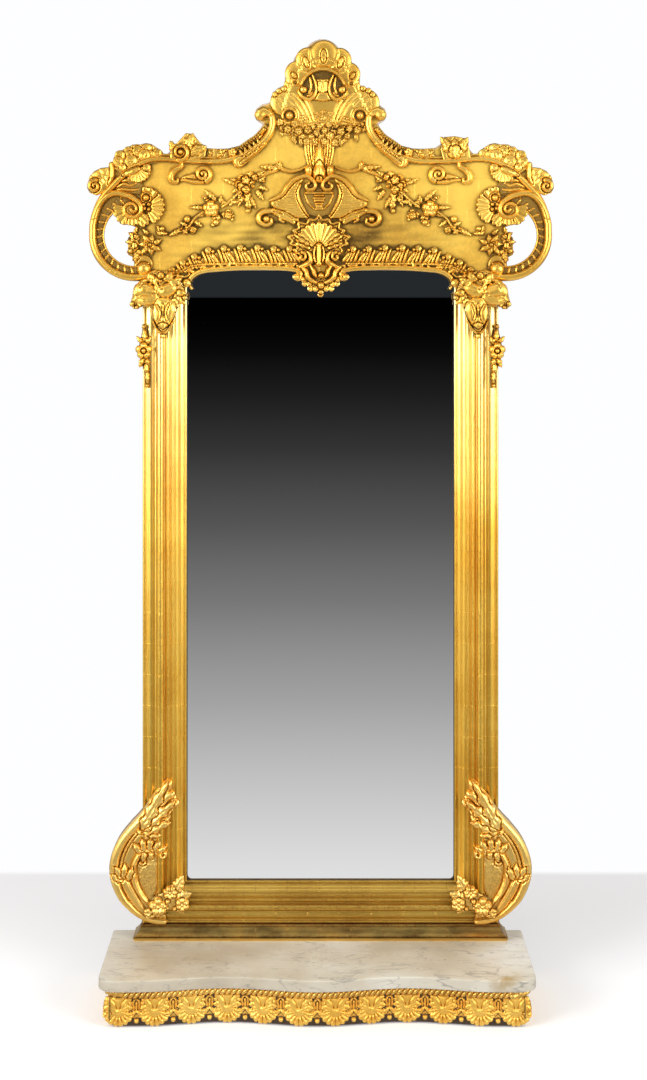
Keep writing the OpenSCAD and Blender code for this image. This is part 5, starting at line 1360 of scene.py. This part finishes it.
# The face of the board, with dirt and painted shade round the carvings, darker
# towards the bottom, and a bare sawn edge where the gilding stops short.
covered = np.zeros(board.x.shape)
for piece in CARVED:
    flat = np.empty(len(piece.data.vertices) * 3)
    piece.data.vertices.foreach_get("co", flat)
    columns = np.rint((flat[0::3] * 1000 - board.left) / board.step).astype(int)
    rows = np.rint((flat[2::3] * 1000 - board.low) / board.step).astype(int)
    covered[rows.clip(0, covered.shape[0] - 1), columns.clip(0, covered.shape[1] - 1)] = 1
near, nearer = blur(covered, 14), blur(covered, 3)
board_dirt_and_shade = 0.32 * np.clip(near * 1.5, 0, 1) ** 1.6 + 0.30 * np.clip(nearer * 1.7, 0, 1) ** 1.4
board_dirt_and_shade += 0.62 * np.clip((2075 - board.z) / 110, 0, 1) * np.clip(1.25 - np.abs(board.x) / 420, 0.3, 1)
smudges = blur(np.random.default_rng(5).uniform(-1, 1, board.x.shape), 5)
for _ in range(40):
    smudges = (np.roll(smudges, 1, 1) + smudges + np.roll(smudges, -1, 1)) / 3
board_dirt_and_shade = board_dirt_and_shade * (1 + np.clip(smudges / smudges.std(), -2, 2) * 0.22)
edge = np.clip(1.2 - board.inside / 5, 0, 1) * np.clip((board.z - 2150) / 30, 0, 1)
dress(carve("crest_board_gilded", board, BOARD_BACK, fall=0.95, marks=(
    ("painted_shade_and_grime", np.clip(board_dirt_and_shade, 0, 0.95), 0.6), ("ridge", np.zeros(board.x.shape), 0.0), ("bare", edge, 1.0))),
    gilt_ground, "gilt", "crest_board")

# ---------------------------------------------------------------------------
# The capitals: a crown of acanthus leaves with curled tips on the head of each
# stile, from which a ribbed bell hangs over the moulding.
r = Relief(-508, -336, 1686, 1872)
r.tube([(-432, 1776), (-436, 1756), (-408, 1700), (-380, 1756), (-376, 1776)], [6, 6], 0.6, [1.4, 1.4], 0)
r.plate([(-482, 1826), (-472, 1833), (-454, 1846), (-440, 1857), (-428, 1862), (-414, 1866), (-398, 1860),
         (-382, 1848), (-366, 1837), (-361, 1825), (-354, 1816), (-345, 1802), (-348, 1788), (-360, 1782),
         (-374, 1776), (-392, 1768), (-420, 1766), (-435, 1770), (-452, 1770), (-468, 1773), (-484, 1764),
         (-494, 1776), (-488, 1800), (-486, 1814)], 9, 8, 0, 0.35)
for x, z, angle, long, wide, bend, tall, lift in (
        (-430, 1828, 118, 36, 26, 0.0, 9, 8), (-420, 1832, 84, 34, 22, 0.0, 9, 8),
        (-398, 1832, 66, 32, 24, 0.0, 9, 8), (-386, 1830, 24, 30, 22, 0.1, 9, 8),
        (-462, 1796, 204, 36, 24, 0.12, 10, 8), (-460, 1788, 226, 26, 18, 0.1, 9, 8),
        (-380, 1802, 326, 40, 24, -0.1, 10, 8), (-374, 1808, 352, 28, 18, 0.0, 9, 8),
        (-384, 1792, 300, 26, 20, 0.0, 9, 8)):
    r.leaf(x, z, angle, long, wide, tall, bend, 2, lift, 0.12)
for path, radii, tall in (
        ([(-414, 1852), (-424, 1842), (-428, 1830), (-420, 1816), (-410, 1804)], [7, 7, 6, 6, 7],
         [9, 9, 8, 8, 7]),
        ([(-412, 1852), (-400, 1842), (-384, 1838), (-368, 1830)], [6, 6, 6, 4], [9, 8, 8, 6]),
        ([(-446, 1840), (-466, 1830), (-477, 1812), (-474, 1794), (-460, 1782), (-440, 1780)],
         [5, 7, 8, 8, 7, 5], [7, 8, 8, 8, 7, 6])):
    r.tube(path, radii, 9, tall, 0.15)
r.tube([(-458, 1814), (-438, 1806)], [22, 20], 6, [19, 16], 0.2)
r.tube([(-476, 1790), (-458, 1786), (-438, 1786), (-422, 1794)], [9, 12, 11, 8], 6, [10, 13, 13, 10], 0.2)
r.tube([(-403, 1811), (-388, 1819)], [20, 17], 6, [17, 14], 0.2)
r.groove([(-466, 1820), (-460, 1831), (-447, 1835), (-435, 1828), (-430, 1816)], 1.5, 5)
r.groove([(-412, 1822), (-404, 1831), (-392, 1832), (-383, 1824)], 1.5, 5)
for x, z, size in ((-431, 1802, 5), (-375, 1829, 5), (-411, 1818, 3.5)):
    r.hollow(around(x, z, size, 0, 330, 11), 15, 3, soot_and_shade=0.4)
r.ball(-414, 1852, 9, 8, 12)
r.groove([(-420, 1860), (-414, 1853), (-408, 1860)], 1.3, 4)
for x, z, size in ((-489, 1777, 6), (-477, 1769, 5), (-352, 1794, 6)):
    r.ball(x, z, size, size * 0.9, 9)
r.plate([(-418, 1794), (-432, 1776), (-436, 1756), (-432, 1736), (-422, 1716), (-408, 1700), (-394, 1716),
         (-382, 1738), (-374, 1760), (-378, 1780), (-394, 1794)], 20, 24)
for line in ([(-424, 1776), (-416, 1757), (-418, 1735)], [(-407, 1776), (-408, 1748)],
             [(-393, 1778), (-401, 1756), (-397, 1735)]):
    r.tube(line, [2.2, 3, 2.2], 17, [4, 5, 4], 0.25)
r.fan(-408, 1712, 18, 36, 144, 3, 3, 5, 0.1, 17)
r.tube([(-434, 1732), (-424, 1712), (-408, 1701), (-392, 1714), (-380, 1734)], [2.4, 3.4, 2.4], 12,
       [5, 6, 5], 0.4)
r.ball(-409, 1694, 6, 8, 4)
r.soften()
BOARD_FACE, STRIP_FACE, TORUS_FACE = 60.3, 58.3, 76.3


def capital_back(x, z):
    """The capital's back: on the board at its top, the strip at its side, else on the torus."""
    return np.where(z > 1836, BOARD_FACE, np.where(np.abs(x) > 427, STRIP_FACE, TORUS_FACE))


plant_pair("capital", r, TORUS_FACE, deep=capital_back, dirt=1.3)

# The side drops, a short spray of leaves and one flower on each outer strip, a
# little way below the capital.
r = Relief(-490, -424, 1552, 1730)
r.tube([(-460, 1722), (-459, 1700), (-459, 1676), (-460, 1656), (-456, 1632), (-451, 1600), (-448, 1572),
        (-448, 1562)], [4, 7, 12, 15, 12, 9, 7, 4], 0.5, [1.2, 1.2], 0)
for x, z, angle, long, wide in ((-458, 1676, 88, 38, 17), (-454, 1672, 56, 26, 13),
                                (-463, 1674, 126, 26, 13), (-456, 1642, 284, 34, 16),
                                (-461, 1640, 246, 30, 15), (-455, 1622, 276, 36, 15),
                                (-450, 1600, 268, 34, 13)):
    r.leaf(x, z, angle, long, wide, 10, 0.06, 3, 5)
r.flower(-460, 1656, 22.5, 12, 5, 18, 7)
r.ball(-460, 1656, 6, 7, 14)
r.ball(-460, 1719, 5.5, 8, 5)
r.ball(-451, 1565, 4.5, 6, 5)
plant_pair("side_drop", r, STRIP_FACE)

# ---------------------------------------------------------------------------
# The scroll brackets at the foot: a broad C band that grows into an acanthus plume,
# round a smaller scroll, a leaf and a plain stippled panel.
r = Relief(-556, -360, 160, 546)
BAND = [(-406, 171), (-432, 174), (-462, 186), (-490, 207), (-514, 234), (-530, 268), (-537, 302),
        (-533, 338), (-517, 376), (-493, 408), (-470, 432), (-446, 452)]
r.plate([(-400, 164), (-462, 174), (-497, 196), (-524, 226), (-543, 264), (-550, 302), (-545, 340),
         (-527, 382), (-494, 426), (-462, 456), (-440, 470), (-424, 440), (-424, 200), (-404, 190)], 13, 2,
        0, 0.25)
r.tube(BAND, [7, 9, 10.5, 11.5, 12, 12.5, 12.5, 12.5, 12, 12, 12, 11], 12,
       [7, 8, 9, 10, 11, 12, 12, 12, 12])
r.tube([(x + 17, z - 4) for x, z in BAND[4:]], [2, 3, 3.4, 3.4, 3.4, 3.4, 3], 12, [5, 5])
r.tube([(-432, 206), (-448, 222), (-464, 240), (-478, 264), (-485, 292), (-484, 320), (-472, 344),
        (-453, 358), (-430, 361), (-416, 354)], [3, 5, 8, 9.5, 9, 8, 7.5, 8, 8, 7], 12,
       [5, 7, 10, 12, 12, 12, 11, 11, 10, 9], 0.4)
r.groove([(-440, 218), (-462, 242), (-474, 268), (-479, 296), (-476, 322), (-464, 342)], 1.2, 4)
r.tube(curl(-411, 346, 10, 60, -0.9, 0.3), [5, 4.5, 4, 3], 15, [7, 8, 9, 9], 0.5)
r.tube(curl(-461, 328, 8, 200, 0.9, 0.3), [3.6, 3.2, 2.6], 14, [6, 7, 8], 0.5)
for x, z, angle, long, wide, bend in ((-468, 352, 122, 30, 20, 0.1), (-458, 358, 100, 32, 20, 0.0),
                                      (-444, 360, 84, 32, 20, 0.0), (-430, 358, 66, 30, 20, -0.1),
                                      (-420, 354, 40, 24, 16, -0.1), (-454, 352, 238, 26, 18, 0.2),
                                      (-440, 354, 270, 22, 18, 0.0)):
    r.leaf(x, z, angle, long, wide, 10, bend, 2, 14)
r.tube([(-436, 186), (-454, 196), (-472, 214), (-488, 238), (-502, 264), (-512, 288)],
       [3, 6, 10, 12, 12, 10], 11, [5, 7, 9, 10, 11, 10], 0.4)
for x, z, angle, long, wide, bend in ((-514, 278, 142, 34, 20, 0.1), (-514, 284, 116, 38, 20, 0.1),
                                      (-508, 284, 94, 40, 20, -0.05), (-500, 280, 76, 38, 18, -0.1)):
    r.leaf(x, z, angle, long, wide, 10, bend, 2, 13)
for shift in (-5, 0, 5):
    r.groove([(-450 + shift, 196), (-471 + shift, 214), (-487 + shift, 238), (-501 + shift, 264),
              (-510 + shift, 286)], 1.2, 3.5)
r.plate([(-474, 406), (-462, 460), (-440, 482), (-425, 507), (-410, 531), (-399, 541), (-386, 538),
         (-384, 524), (-386, 511), (-376, 497), (-366, 478), (-378, 467), (-390, 454), (-390, 439),
         (-401, 428), (-420, 420), (-412, 409), (-420, 396), (-436, 396), (-442, 408), (-457, 411)], 19, 9)
for line, radii, tall, lift, sink in (
        ([(-470, 405), (-452, 411), (-438, 408), (-428, 404)], [7, 9, 10, 14], [8, 9, 11, 11], 13, 0.3),
        ([(-462, 412), (-438, 424), (-420, 433), (-406, 437)], [8, 11, 12, 14], [9, 11, 12, 13], 13, 0.3),
        ([(-455, 420), (-430, 437), (-412, 449), (-397, 456)], [9, 12, 12, 9], [11, 13, 13, 11], 13, 0.3),
        ([(-458, 425), (-430, 449), (-406, 468), (-388, 478), (-377, 480)], [10, 13, 14, 12, 10],
         [12, 15, 15, 13, 11], 13, 0.3),
        ([(-465, 425), (-440, 454), (-418, 480), (-400, 497), (-388, 503)], [10, 14, 15, 13, 10],
         [12, 16, 16, 14, 12], 13, 0.3),
        ([(-493, 408), (-478, 424), (-455, 448), (-432, 480), (-412, 508), (-398, 528)],
         [12, 12.5, 14, 16, 16, 13], [12, 13, 15, 17, 17, 14], 12, 0.0)):
    r.tube(line, radii, lift, tall, sink)
for line in ([(-462, 430), (-438, 462), (-417, 490), (-402, 508)],
             [(-452, 428), (-427, 454), (-406, 474), (-390, 487)],
             [(-446, 424), (-422, 444), (-401, 460), (-388, 468)], [(-450, 414), (-430, 428), (-410, 444)]):
    r.groove(line, 1.9, 7)
for line in ([(-468, 430), (-446, 458), (-425, 490), (-408, 518)], [(-455, 438), (-432, 466), (-410, 490)],
             [(-446, 436), (-424, 458), (-400, 474)], [(-474, 436), (-452, 466), (-434, 496)]):
    r.groove(line, 1.0, 2.5)
for line in ([(-384, 518), (-394, 512)], [(-372, 492), (-384, 488)], [(-380, 464), (-392, 462)],
             [(-388, 448), (-398, 448)]):
    r.groove(line, 1.8, 7)
for x, z, angle, long, wide, bend in ((-462, 406, -6, 50, 28, -0.10), (-464, 408, 20, 78, 34, -0.06),
                                      (-466, 411, 42, 116, 36, -0.03), (-466, 412, 61, 144, 34, 0.0)):
    r.leaf(x, z, angle, long, wide, 13, bend, 4 if long > 90 else 3, 18, 0.22)
r.soften()
stipple = np.random.default_rng(3).uniform(0, 1, r.height.shape)
panel = r.blank()
panel.plate(around(-446, 280, 25, 0, 345, 24), 10, 2)
panel.plate([(-470, 300), (-456, 322), (-424, 322), (-420, 250), (-436, 238), (-452, 250)], 10, 2)
sunk = (panel.inside > 0) & (r.height < 14)
r.height[:] = np.where(sunk, r.height + 2.4 * blur(stipple, 1), r.height)
r.soot_and_shade[:] = np.where(sunk, 0.08 + 1.6 * np.clip(blur(stipple, 3) - 0.44, 0, 1), r.soot_and_shade)
r.tube([(-419, 330), (-417, 300), (-418, 262), (-428, 240)], [2.2, 2.5, 2.5, 2], 12, [4, 4])


STRIP_END, SIDE_BACK, BLOSSOM_BACK = 464.6, 27.0, 80.3


def bracket_back(x, _):
    """The bracket's back: against the strip, and deeper beside it."""
    return np.where(np.abs(x) > STRIP_END, SIDE_BACK, STRIP_FACE)


# The brackets' leaf is brighter and paler than the other carvings': a painted highlight for the light that
# falls on them from the left.
gilt_bracket_lit = gilt("gilt_bracket_lit", (1.0, 0.69, 0.19), (1.0, 0.56, 0.10), age=0.15, wear=0.15, laps=0.0,
                    polish=0.30, metal=0.92)
varnish(gilt_bracket_lit, 0.4)
plant_pair("bracket", r, STRIP_FACE, gilt_bracket_lit, deep=bracket_back, dirt=0.5)

# The flowers of the bracket, three blossoms and two veined leaves that reach over the
# corner of the opening.
r = Relief(-462, -326, 184, 310)
r.plate([(-446, 204), (-420, 196), (-392, 208), (-354, 210), (-348, 236), (-384, 262), (-410, 250),
         (-436, 236)], 4, 4)
r.leaf(-382, 244, 64, 58, 34, 11, 0.0, 5)
r.leaf(-376, 234, 24, 44, 30, 10, -0.04, 5)
r.leaf(-396, 214, 200, 62, 26, 9, 0.1, 3)
r.leaf(-372, 222, 300, 30, 22, 8, 0.1, 3)
r.flower(-420, 216, 25, 14, 5, 20, 3)
r.flower(-389, 252, 19, 12, 7, 10, 4)
r.flower(-358, 221, 19, 12, 6, 30, 3)
r.flower(-447, 200, 11, 8, 5, 0, 2)
r.ball(-396, 230, 6, 9, 6)
r.ball(-378, 210, 5, 7, 5)
plant_pair("bracket_flowers", r, BLOSSOM_BACK, gilt_bracket_lit)

# ---------------------------------------------------------------------------
# The slab: one piece of grey-veined cream marble with a serpentine front, round
# front corners and a softly worn arris. It lies on the base by its own weight.
SLAB_X, SLAB_W, SLAB_D, SLAB_Z, SLAB_T = -8, 1078, 340, 95, 29
WAVE_D, CORNER_R = 25, 40
FLAT_END, WAVE_END = 44, 90
STAIN_PLACE = (0.452, -0.150, 0.112)


def wave(x):
    """How far the front of the slab lies behind its furthest point."""
    reach = SLAB_W / 2 - WAVE_END
    return WAVE_D / 2 * (1 - math.cos(2 * math.pi * min(abs(x), reach) / reach))


def slab_line(inset, spacing=10.0):
    """The front and both ends of the slab, at a distance inside the edge."""
    half = SLAB_W / 2 - inset
    y = -SLAB_D / 2 + inset
    line = [(-half, WALL - i * (SLAB_D - inset - CORNER_R) / 12) for i in range(12)]
    line += around(-half + CORNER_R, y + CORNER_R, CORNER_R, 180, 270, 10)
    flat = SLAB_W / 2 - FLAT_END
    steps = int(2 * flat / spacing)
    line += [(-flat + 2 * flat * i / steps, y + wave(-flat + 2 * flat * i / steps))
             for i in range(1, steps)]
    line += around(half - CORNER_R, y + CORNER_R, CORNER_R, 270, 360, 10)
    line += [(half, y + CORNER_R + i * (SLAB_D - inset - CORNER_R) / 12) for i in range(1, 13)]
    return line


rows = ((2.5, 0), (0.6, 1.0), (0, 3), (0, 24.5), (0.6, 26.8), (2.2, 28.3), (4.6, 28.9), (7, SLAB_T))
points = [(SLAB_X + x, y, SLAB_Z + z) for inset, z in rows for x, y in slab_line(inset)]
slab = make_mesh("marble_slab_polished", points, skin(len(rows), len(points) // len(rows)))
slab.data.shade_smooth()
slab.data.set_sharp_from_angle(angle=math.radians(50))

marble, marble_shader = plain_material("cream_marble", (0.7, 0.66, 0.58), 0.22)
tree = marble.node_tree
place = object_place(tree)
bent = vector_maths(tree, "ADD", place,
                    vector_maths(tree, "MULTIPLY", noise(tree, place, 2.6, 1, 0.4, "Color"), grey(0.16)))
turned = scaled(tree, bent, 3.6, 13.0, 13.0)
turned.node.inputs["Rotation"].default_value = (0, 0, math.radians(28))
clouds = noise(tree, bent, 3.2, 3, 0.5)
stone = ramp(tree, clouds, [(0.30, (0.44, 0.36, 0.25)), (0.45, (0.57, 0.51, 0.40)),
                            (0.58, (0.65, 0.61, 0.51)), (0.75, (0.76, 0.75, 0.70))])
for scale, thin, share, cover in ((1.2, 0.014, 0.8, (0.42, 0.54)), (3.4, 0.022, 0.65, (0.44, 0.56))):
    field = maths(tree, "ABSOLUTE", maths(tree, "SUBTRACT", noise(tree, turned, scale, 3, 0.5), 0.5))
    veins = times(tree, between(tree, field, 0.0, thin, share, 0.0),
                  between(tree, noise(tree, place, 5.0 * scale, 2), *cover))
    stone = blend_colour(tree, veins, stone, (0.27, 0.25, 0.22))
drifts = between(tree, noise(tree, turned, 1.9, 4, 0.6), 0.52, 0.70, 0.0, 0.45)
stone = blend_colour(tree, drifts, stone, (0.47, 0.42, 0.33))
from_stain = vector_maths(tree, "DISTANCE", place, STAIN_PLACE, "Value")
stains = times(tree, between(tree, from_stain, 0.012, 0.05, 0.9, 0.06),
               between(tree, noise(tree, place, 26, 3), 0.42, 0.60))
stone = blend_colour(tree, stains, stone, (0.40, 0.27, 0.10))
top_light = ramp(tree, between(tree, place_along(tree, "Z"), 0.1205, 0.1238),
                 [(0.0, grey(0.82)), (1.0, grey(1.06))])
tree.links.new(blend_colour(tree, 1.0, stone, top_light, "MULTIPLY"), marble_shader.inputs["Base Color"])
tree.links.new(between(tree, noise(tree, place, 12, 2), 0.3, 0.7, 0.26, 0.36),
               marble_shader.inputs["Roughness"])
tree.links.new(bumps(tree, noise(tree, place, 9, 1), 0.04, 0.001), marble_shader.inputs["Normal"])
dress(slab, marble, "marble", "marble_slab")

# ---------------------------------------------------------------------------
# The base: a low box of bent and straight rails on glued corner blocks. Its face is
# gilded but painted near black, as painted shade between the castings that cover it.
base_shadow_paint = gilt("base_shadow_paint", (0.06, 0.035, 0.02), (0.03, 0.018, 0.01), age=0.1, wear=0.1, laps=0.0,
                 polish=0.6, metal=0.2)
for node_name in ("base_front_rail", "base_end_rails"):
    dress(nodes[node_name], base_shadow_paint)


def socket_id(tree, label):
    """The identifier of a Geometry Nodes input, found by its name."""
    return next(item.identifier for item in tree.interface.items_tree
                if item.item_type == "SOCKET" and item.in_out == "INPUT" and item.name == label)


def geometry_tree(name, inputs):
    """A Geometry Nodes tree with named inputs and a finish, and its in and out nodes."""
    tree = bpy.data.node_groups.new(name, "GeometryNodeTree")
    for label, kind in [("Geometry", "NodeSocketGeometry")] + inputs + [("Finish", "NodeSocketMaterial")]:
        tree.interface.new_socket(label, in_out="INPUT", socket_type=kind)
    tree.interface.new_socket("Geometry", in_out="OUTPUT", socket_type="NodeSocketGeometry")
    return tree, put(tree, "NodeGroupInput").outputs, put(tree, "NodeGroupOutput")


def end_tree(tree, made, given, result):
    """Makes the copies real, and gives them the finish."""
    real = put(tree, "GeometryNodeRealizeInstances", {0: made})
    painted = put(tree, "GeometryNodeSetMaterial",
                  {"Geometry": real.outputs[0], "Material": given["Finish"]})
    tree.links.new(painted.outputs[0], result.inputs[0])


def grow(name, tree, points, edges, values, turns=()):
    """Runs a tree on a mesh of points and edges, and keeps what it makes as a plain mesh."""
    seed = bpy.data.meshes.new(name + "_seed")
    seed.from_pydata([tuple(0.001 * c for c in p) for p in points], edges, [])
    layer = seed.attributes.new("turn", "FLOAT_VECTOR", "POINT")
    for item, turn in zip(layer.data, turns):
        item.vector = (0, 0, turn)
    holder = bpy.data.objects.new(name + "_holder", seed)
    scene.collection.objects.link(holder)
    modifier = holder.modifiers.new("growth", "NODES")
    modifier.node_group = tree
    for label, value in values.items():
        modifier[socket_id(tree, label)] = value
    settled = bpy.context.evaluated_depsgraph_get()
    mesh = bpy.data.meshes.new_from_object(holder.evaluated_get(settled))
    mesh.name = name
    holder.modifiers.remove(modifier)
    bpy.data.objects.remove(holder)
    piece = bpy.data.objects.new(name, mesh)
    scene.collection.objects.link(piece)
    return piece


# ---------------------------------------------------------------------------
# The rope moulding under the slab: turned strands of gilded composition, laid
# round the front and both ends.
t, given, result = geometry_tree("rope_strands", [(label, "NodeSocketFloat") for label in (
    "Pitch", "Strand length", "Strand radius", "Strand depth", "Slant", "Core radius")])
rope_tree = t
path = put(t, "GeometryNodeMeshToCurve", {"Mesh": given["Geometry"]})
spaced = put(t, "GeometryNodeResampleCurve", {"Curve": path.outputs[0], "Length": given["Pitch"]},
             mode="LENGTH")
strand = put(t, "GeometryNodeMeshUVSphere", {"Segments": 10, "Rings": 8, "Radius": 1.0})
sized = put(t, "ShaderNodeCombineXYZ",
            {0: given["Strand radius"], 1: given["Strand depth"], 2: given["Strand length"]})
lean = put(t, "ShaderNodeCombineXYZ", {0: 0.0, 1: given["Slant"], 2: 0.0})
lying = put(t, "GeometryNodeTransform", {"Geometry": strand.outputs[0], "Scale": sized.outputs[0]})
tilted = put(t, "GeometryNodeTransform", {"Geometry": lying.outputs[0], "Rotation": lean.outputs[0]})
tangent = put(t, "GeometryNodeInputTangent")
along = put(t, "FunctionNodeAlignRotationToVector", {"Vector": tangent.outputs[0]}, axis="X",
            pivot_axis="Z")
strands = put(t, "GeometryNodeInstanceOnPoints",
              {"Points": spaced.outputs[0], "Instance": tilted.outputs[0], "Rotation": along.outputs[0]})
ring = put(t, "GeometryNodeCurvePrimitiveCircle", {"Resolution": 10, "Radius": given["Core radius"]})
core = put(t, "GeometryNodeCurveToMesh",
           {"Curve": path.outputs[0], "Profile Curve": ring.outputs[0], "Fill Caps": True})
both = put(t, "GeometryNodeJoinGeometry")
t.links.new(core.outputs[0], both.inputs[0])
t.links.new(strands.outputs[0], both.inputs[0])
rounded = put(t, "GeometryNodeSetShadeSmooth", {0: both.outputs[0]})
end_tree(t, rounded.outputs[0], given, result)
gilt_rope = gilt("gilt_rope", (1.0, 0.66, 0.18), (0.85, 0.50, 0.10), age=0.3, wear=0.3, laps=0.0,
                 polish=0.28)
ROPE_INSET, ROPE_Z, ROPE_END = 19.5, 84.3, 10.8
rope_points = [(SLAB_X + x, min(y, WALL - ROPE_END), ROPE_Z) for x, y in slab_line(ROPE_INSET, 8.0)]
rope = grow("rope_strands", rope_tree, rope_points, [(i, i + 1) for i in range(len(rope_points) - 1)], {
    "Pitch": 0.0132, "Strand length": 0.0135, "Strand radius": 0.0060, "Strand depth": 0.0105,
    "Slant": math.radians(46), "Core radius": 0.0066, "Finish": gilt_rope})
dress(rope, gilt_rope, "gilt", "rope_moulding")

# ---------------------------------------------------------------------------
# The apron: cast shells, ribbed from a point at their top down to a scalloped lip,
# with a husk between each pair, pinned to the face of the base.
SHELLS, END_SHELLS, SHELL_MARGIN, WALL_MARGIN, BASE_INSET = 12, 4, 50, 46, 30
SHELL_PITCH = (SLAB_W - 2 * SHELL_MARGIN) / (SHELLS - 1)


def template(name, relief):
    """One casting, with its back on the plane y = 0, to be set along the base."""
    piece = carve(name, relief, WALL, dirt=0.5)
    CARVED.remove(piece)
    return piece


r = Relief(-40, 40, 1, 76, 1.7)
r.plate([(-31, 75), (31, 75), (36, 62), (38, 46), (38, 32), (31, 18), (19, 8), (7, 4), (-7, 4), (-19, 8),
         (-31, 18), (-38, 32), (-38, 46), (-36, 62)], 6, 6)
r.plate([(-32, 72), (32, 72), (34, 50), (24, 22), (0, 8), (-24, 22), (-34, 50)], 10, 20)
for turn in np.radians(range(200, 341, 20)):
    c, s = math.cos(turn), math.sin(turn)
    r.tube([(24 * c, 42 + 22 * s), (34 * c, 41 + 32 * s)], [4.5, 6.8], 5, [6, 5], 0.25)
for side in (-1, 1):
    for z, turn in ((34, 84), (45, 70), (56, 54)):
        r.leaf(side * 26, z, 90 - side * turn, 12, 9, 4, 0, 1, 5)
    r.groove([(side * 3, 44), (side * 7, 58), (side * 16, 71)], 1.8, 4.5)
for turn in np.radians([*range(190, 351, 20), -8, 12, 32, 46, 60, 120, 134, 148, 168]):
    c, s = math.cos(turn), math.sin(turn)
    r.groove([(7 * c, 41 + 7 * s), (28 * c, 41 + 28 * s)], 1.4, 2.6)
apron_shell = template("apron_shell_casting", r)
r = Relief(-14, 14, 6, 76, 1.6)
r.plate([(-10, 74), (10, 74), (11, 44), (8, 20), (-8, 20), (-11, 44)], 5, 3)
r.tube([(-6, 46), (-7, 62), (0, 70), (7, 62), (6, 46)], [2.4, 2.4], 5, [5, 5], 0.5)
r.tube([(0, 60), (0, 44)], [2.6, 3], 4, [4, 5], 0.3)
for side in (-1, 1):
    r.leaf(side * 2, 42, 270 + side * 28, 20, 9, 6, 0, 1, 5)
r.ball(0, 16, 6, 7, 4)
husk = template("apron_husk_casting", r)

t, given, result = geometry_tree("row_of_castings", [("Casting", "NodeSocketObject")])
castings_tree = t
source = put(t, "GeometryNodeObjectInfo", {"Object": given["Casting"], "As Instance": True})
turns = put(t, "GeometryNodeInputNamedAttribute", {"Name": "turn"}, data_type="FLOAT_VECTOR")
placed = put(t, "GeometryNodeInstanceOnPoints",
             {"Points": given["Geometry"], "Instance": source.outputs["Geometry"],
              "Rotation": turns.outputs[0]})
end_tree(t, placed.outputs[0], given, result)


def row_of(name, casting, spots, *replaced):
    """A row of one casting, at its places and turns."""
    places, turns = zip(*spots)
    piece = grow(name, castings_tree, places, [], {"Casting": casting, "Finish": gilt_apron}, turns)
    bpy.data.objects.remove(casting)
    dress(piece, gilt_apron, "gilt", *replaced)


def on_front(x):
    """A place on the front of the base, and the turn that faces its slope."""
    return (SLAB_X + x, -SLAB_D / 2 + BASE_INSET + wave(x), 0), math.atan2(wave(x + 1) - wave(x - 1), 2)


shell_spots = [on_front(-SLAB_W / 2 + SHELL_MARGIN + i * SHELL_PITCH) for i in range(SHELLS)]
end_pitch = (SLAB_D - 2 * SHELL_MARGIN) / (END_SHELLS - 1)
for sign in (-1, 1):
    shell_spots += [((SLAB_X + sign * (SLAB_W / 2 - BASE_INSET), WALL - WALL_MARGIN - i * end_pitch, 0),
                     sign * math.pi / 2) for i in range(END_SHELLS)]
gilt_apron = gilt("gilt_apron", (1.0, 0.64, 0.13), (1.0, 0.56, 0.08), age=0.12, wear=0.15, laps=0.0,
                  polish=0.36, metal=0.75)
varnish(gilt_apron, 0.15)
row_of("apron_shell_row", apron_shell, shell_spots, "apron_shells")
row_of("apron_husk_row", husk,
       [on_front(-SLAB_W / 2 + SHELL_MARGIN + (i + 0.5) * SHELL_PITCH) for i in range(SHELLS - 1)])

# ---------------------------------------------------------------------------
# The wall plates: two iron straps let into the top rail, each with an eye for a wall
# hook, and the four countersunk screws that hold them.
iron, iron_shader = plain_material("old_iron", (0.10, 0.09, 0.085), 0.5, 0.85)
tree = iron.node_tree
rust = noise(tree, object_place(tree), 90, 6, 0.7)
tree.links.new(ramp(tree, rust,
                    [(0.35, (0.11, 0.105, 0.10)), (0.55, (0.14, 0.10, 0.075)), (0.72, (0.22, 0.08, 0.03))]),
               iron_shader.inputs["Base Color"])
tree.links.new(between(tree, rust, 0.35, 0.7, 0.38, 0.85), iron_shader.inputs["Roughness"])
tree.links.new(bumps(tree, rust, 0.4, 0.0005), iron_shader.inputs["Normal"])
for node_name in ("wall_plates", "plate_screws"):
    dress(nodes[node_name], iron)
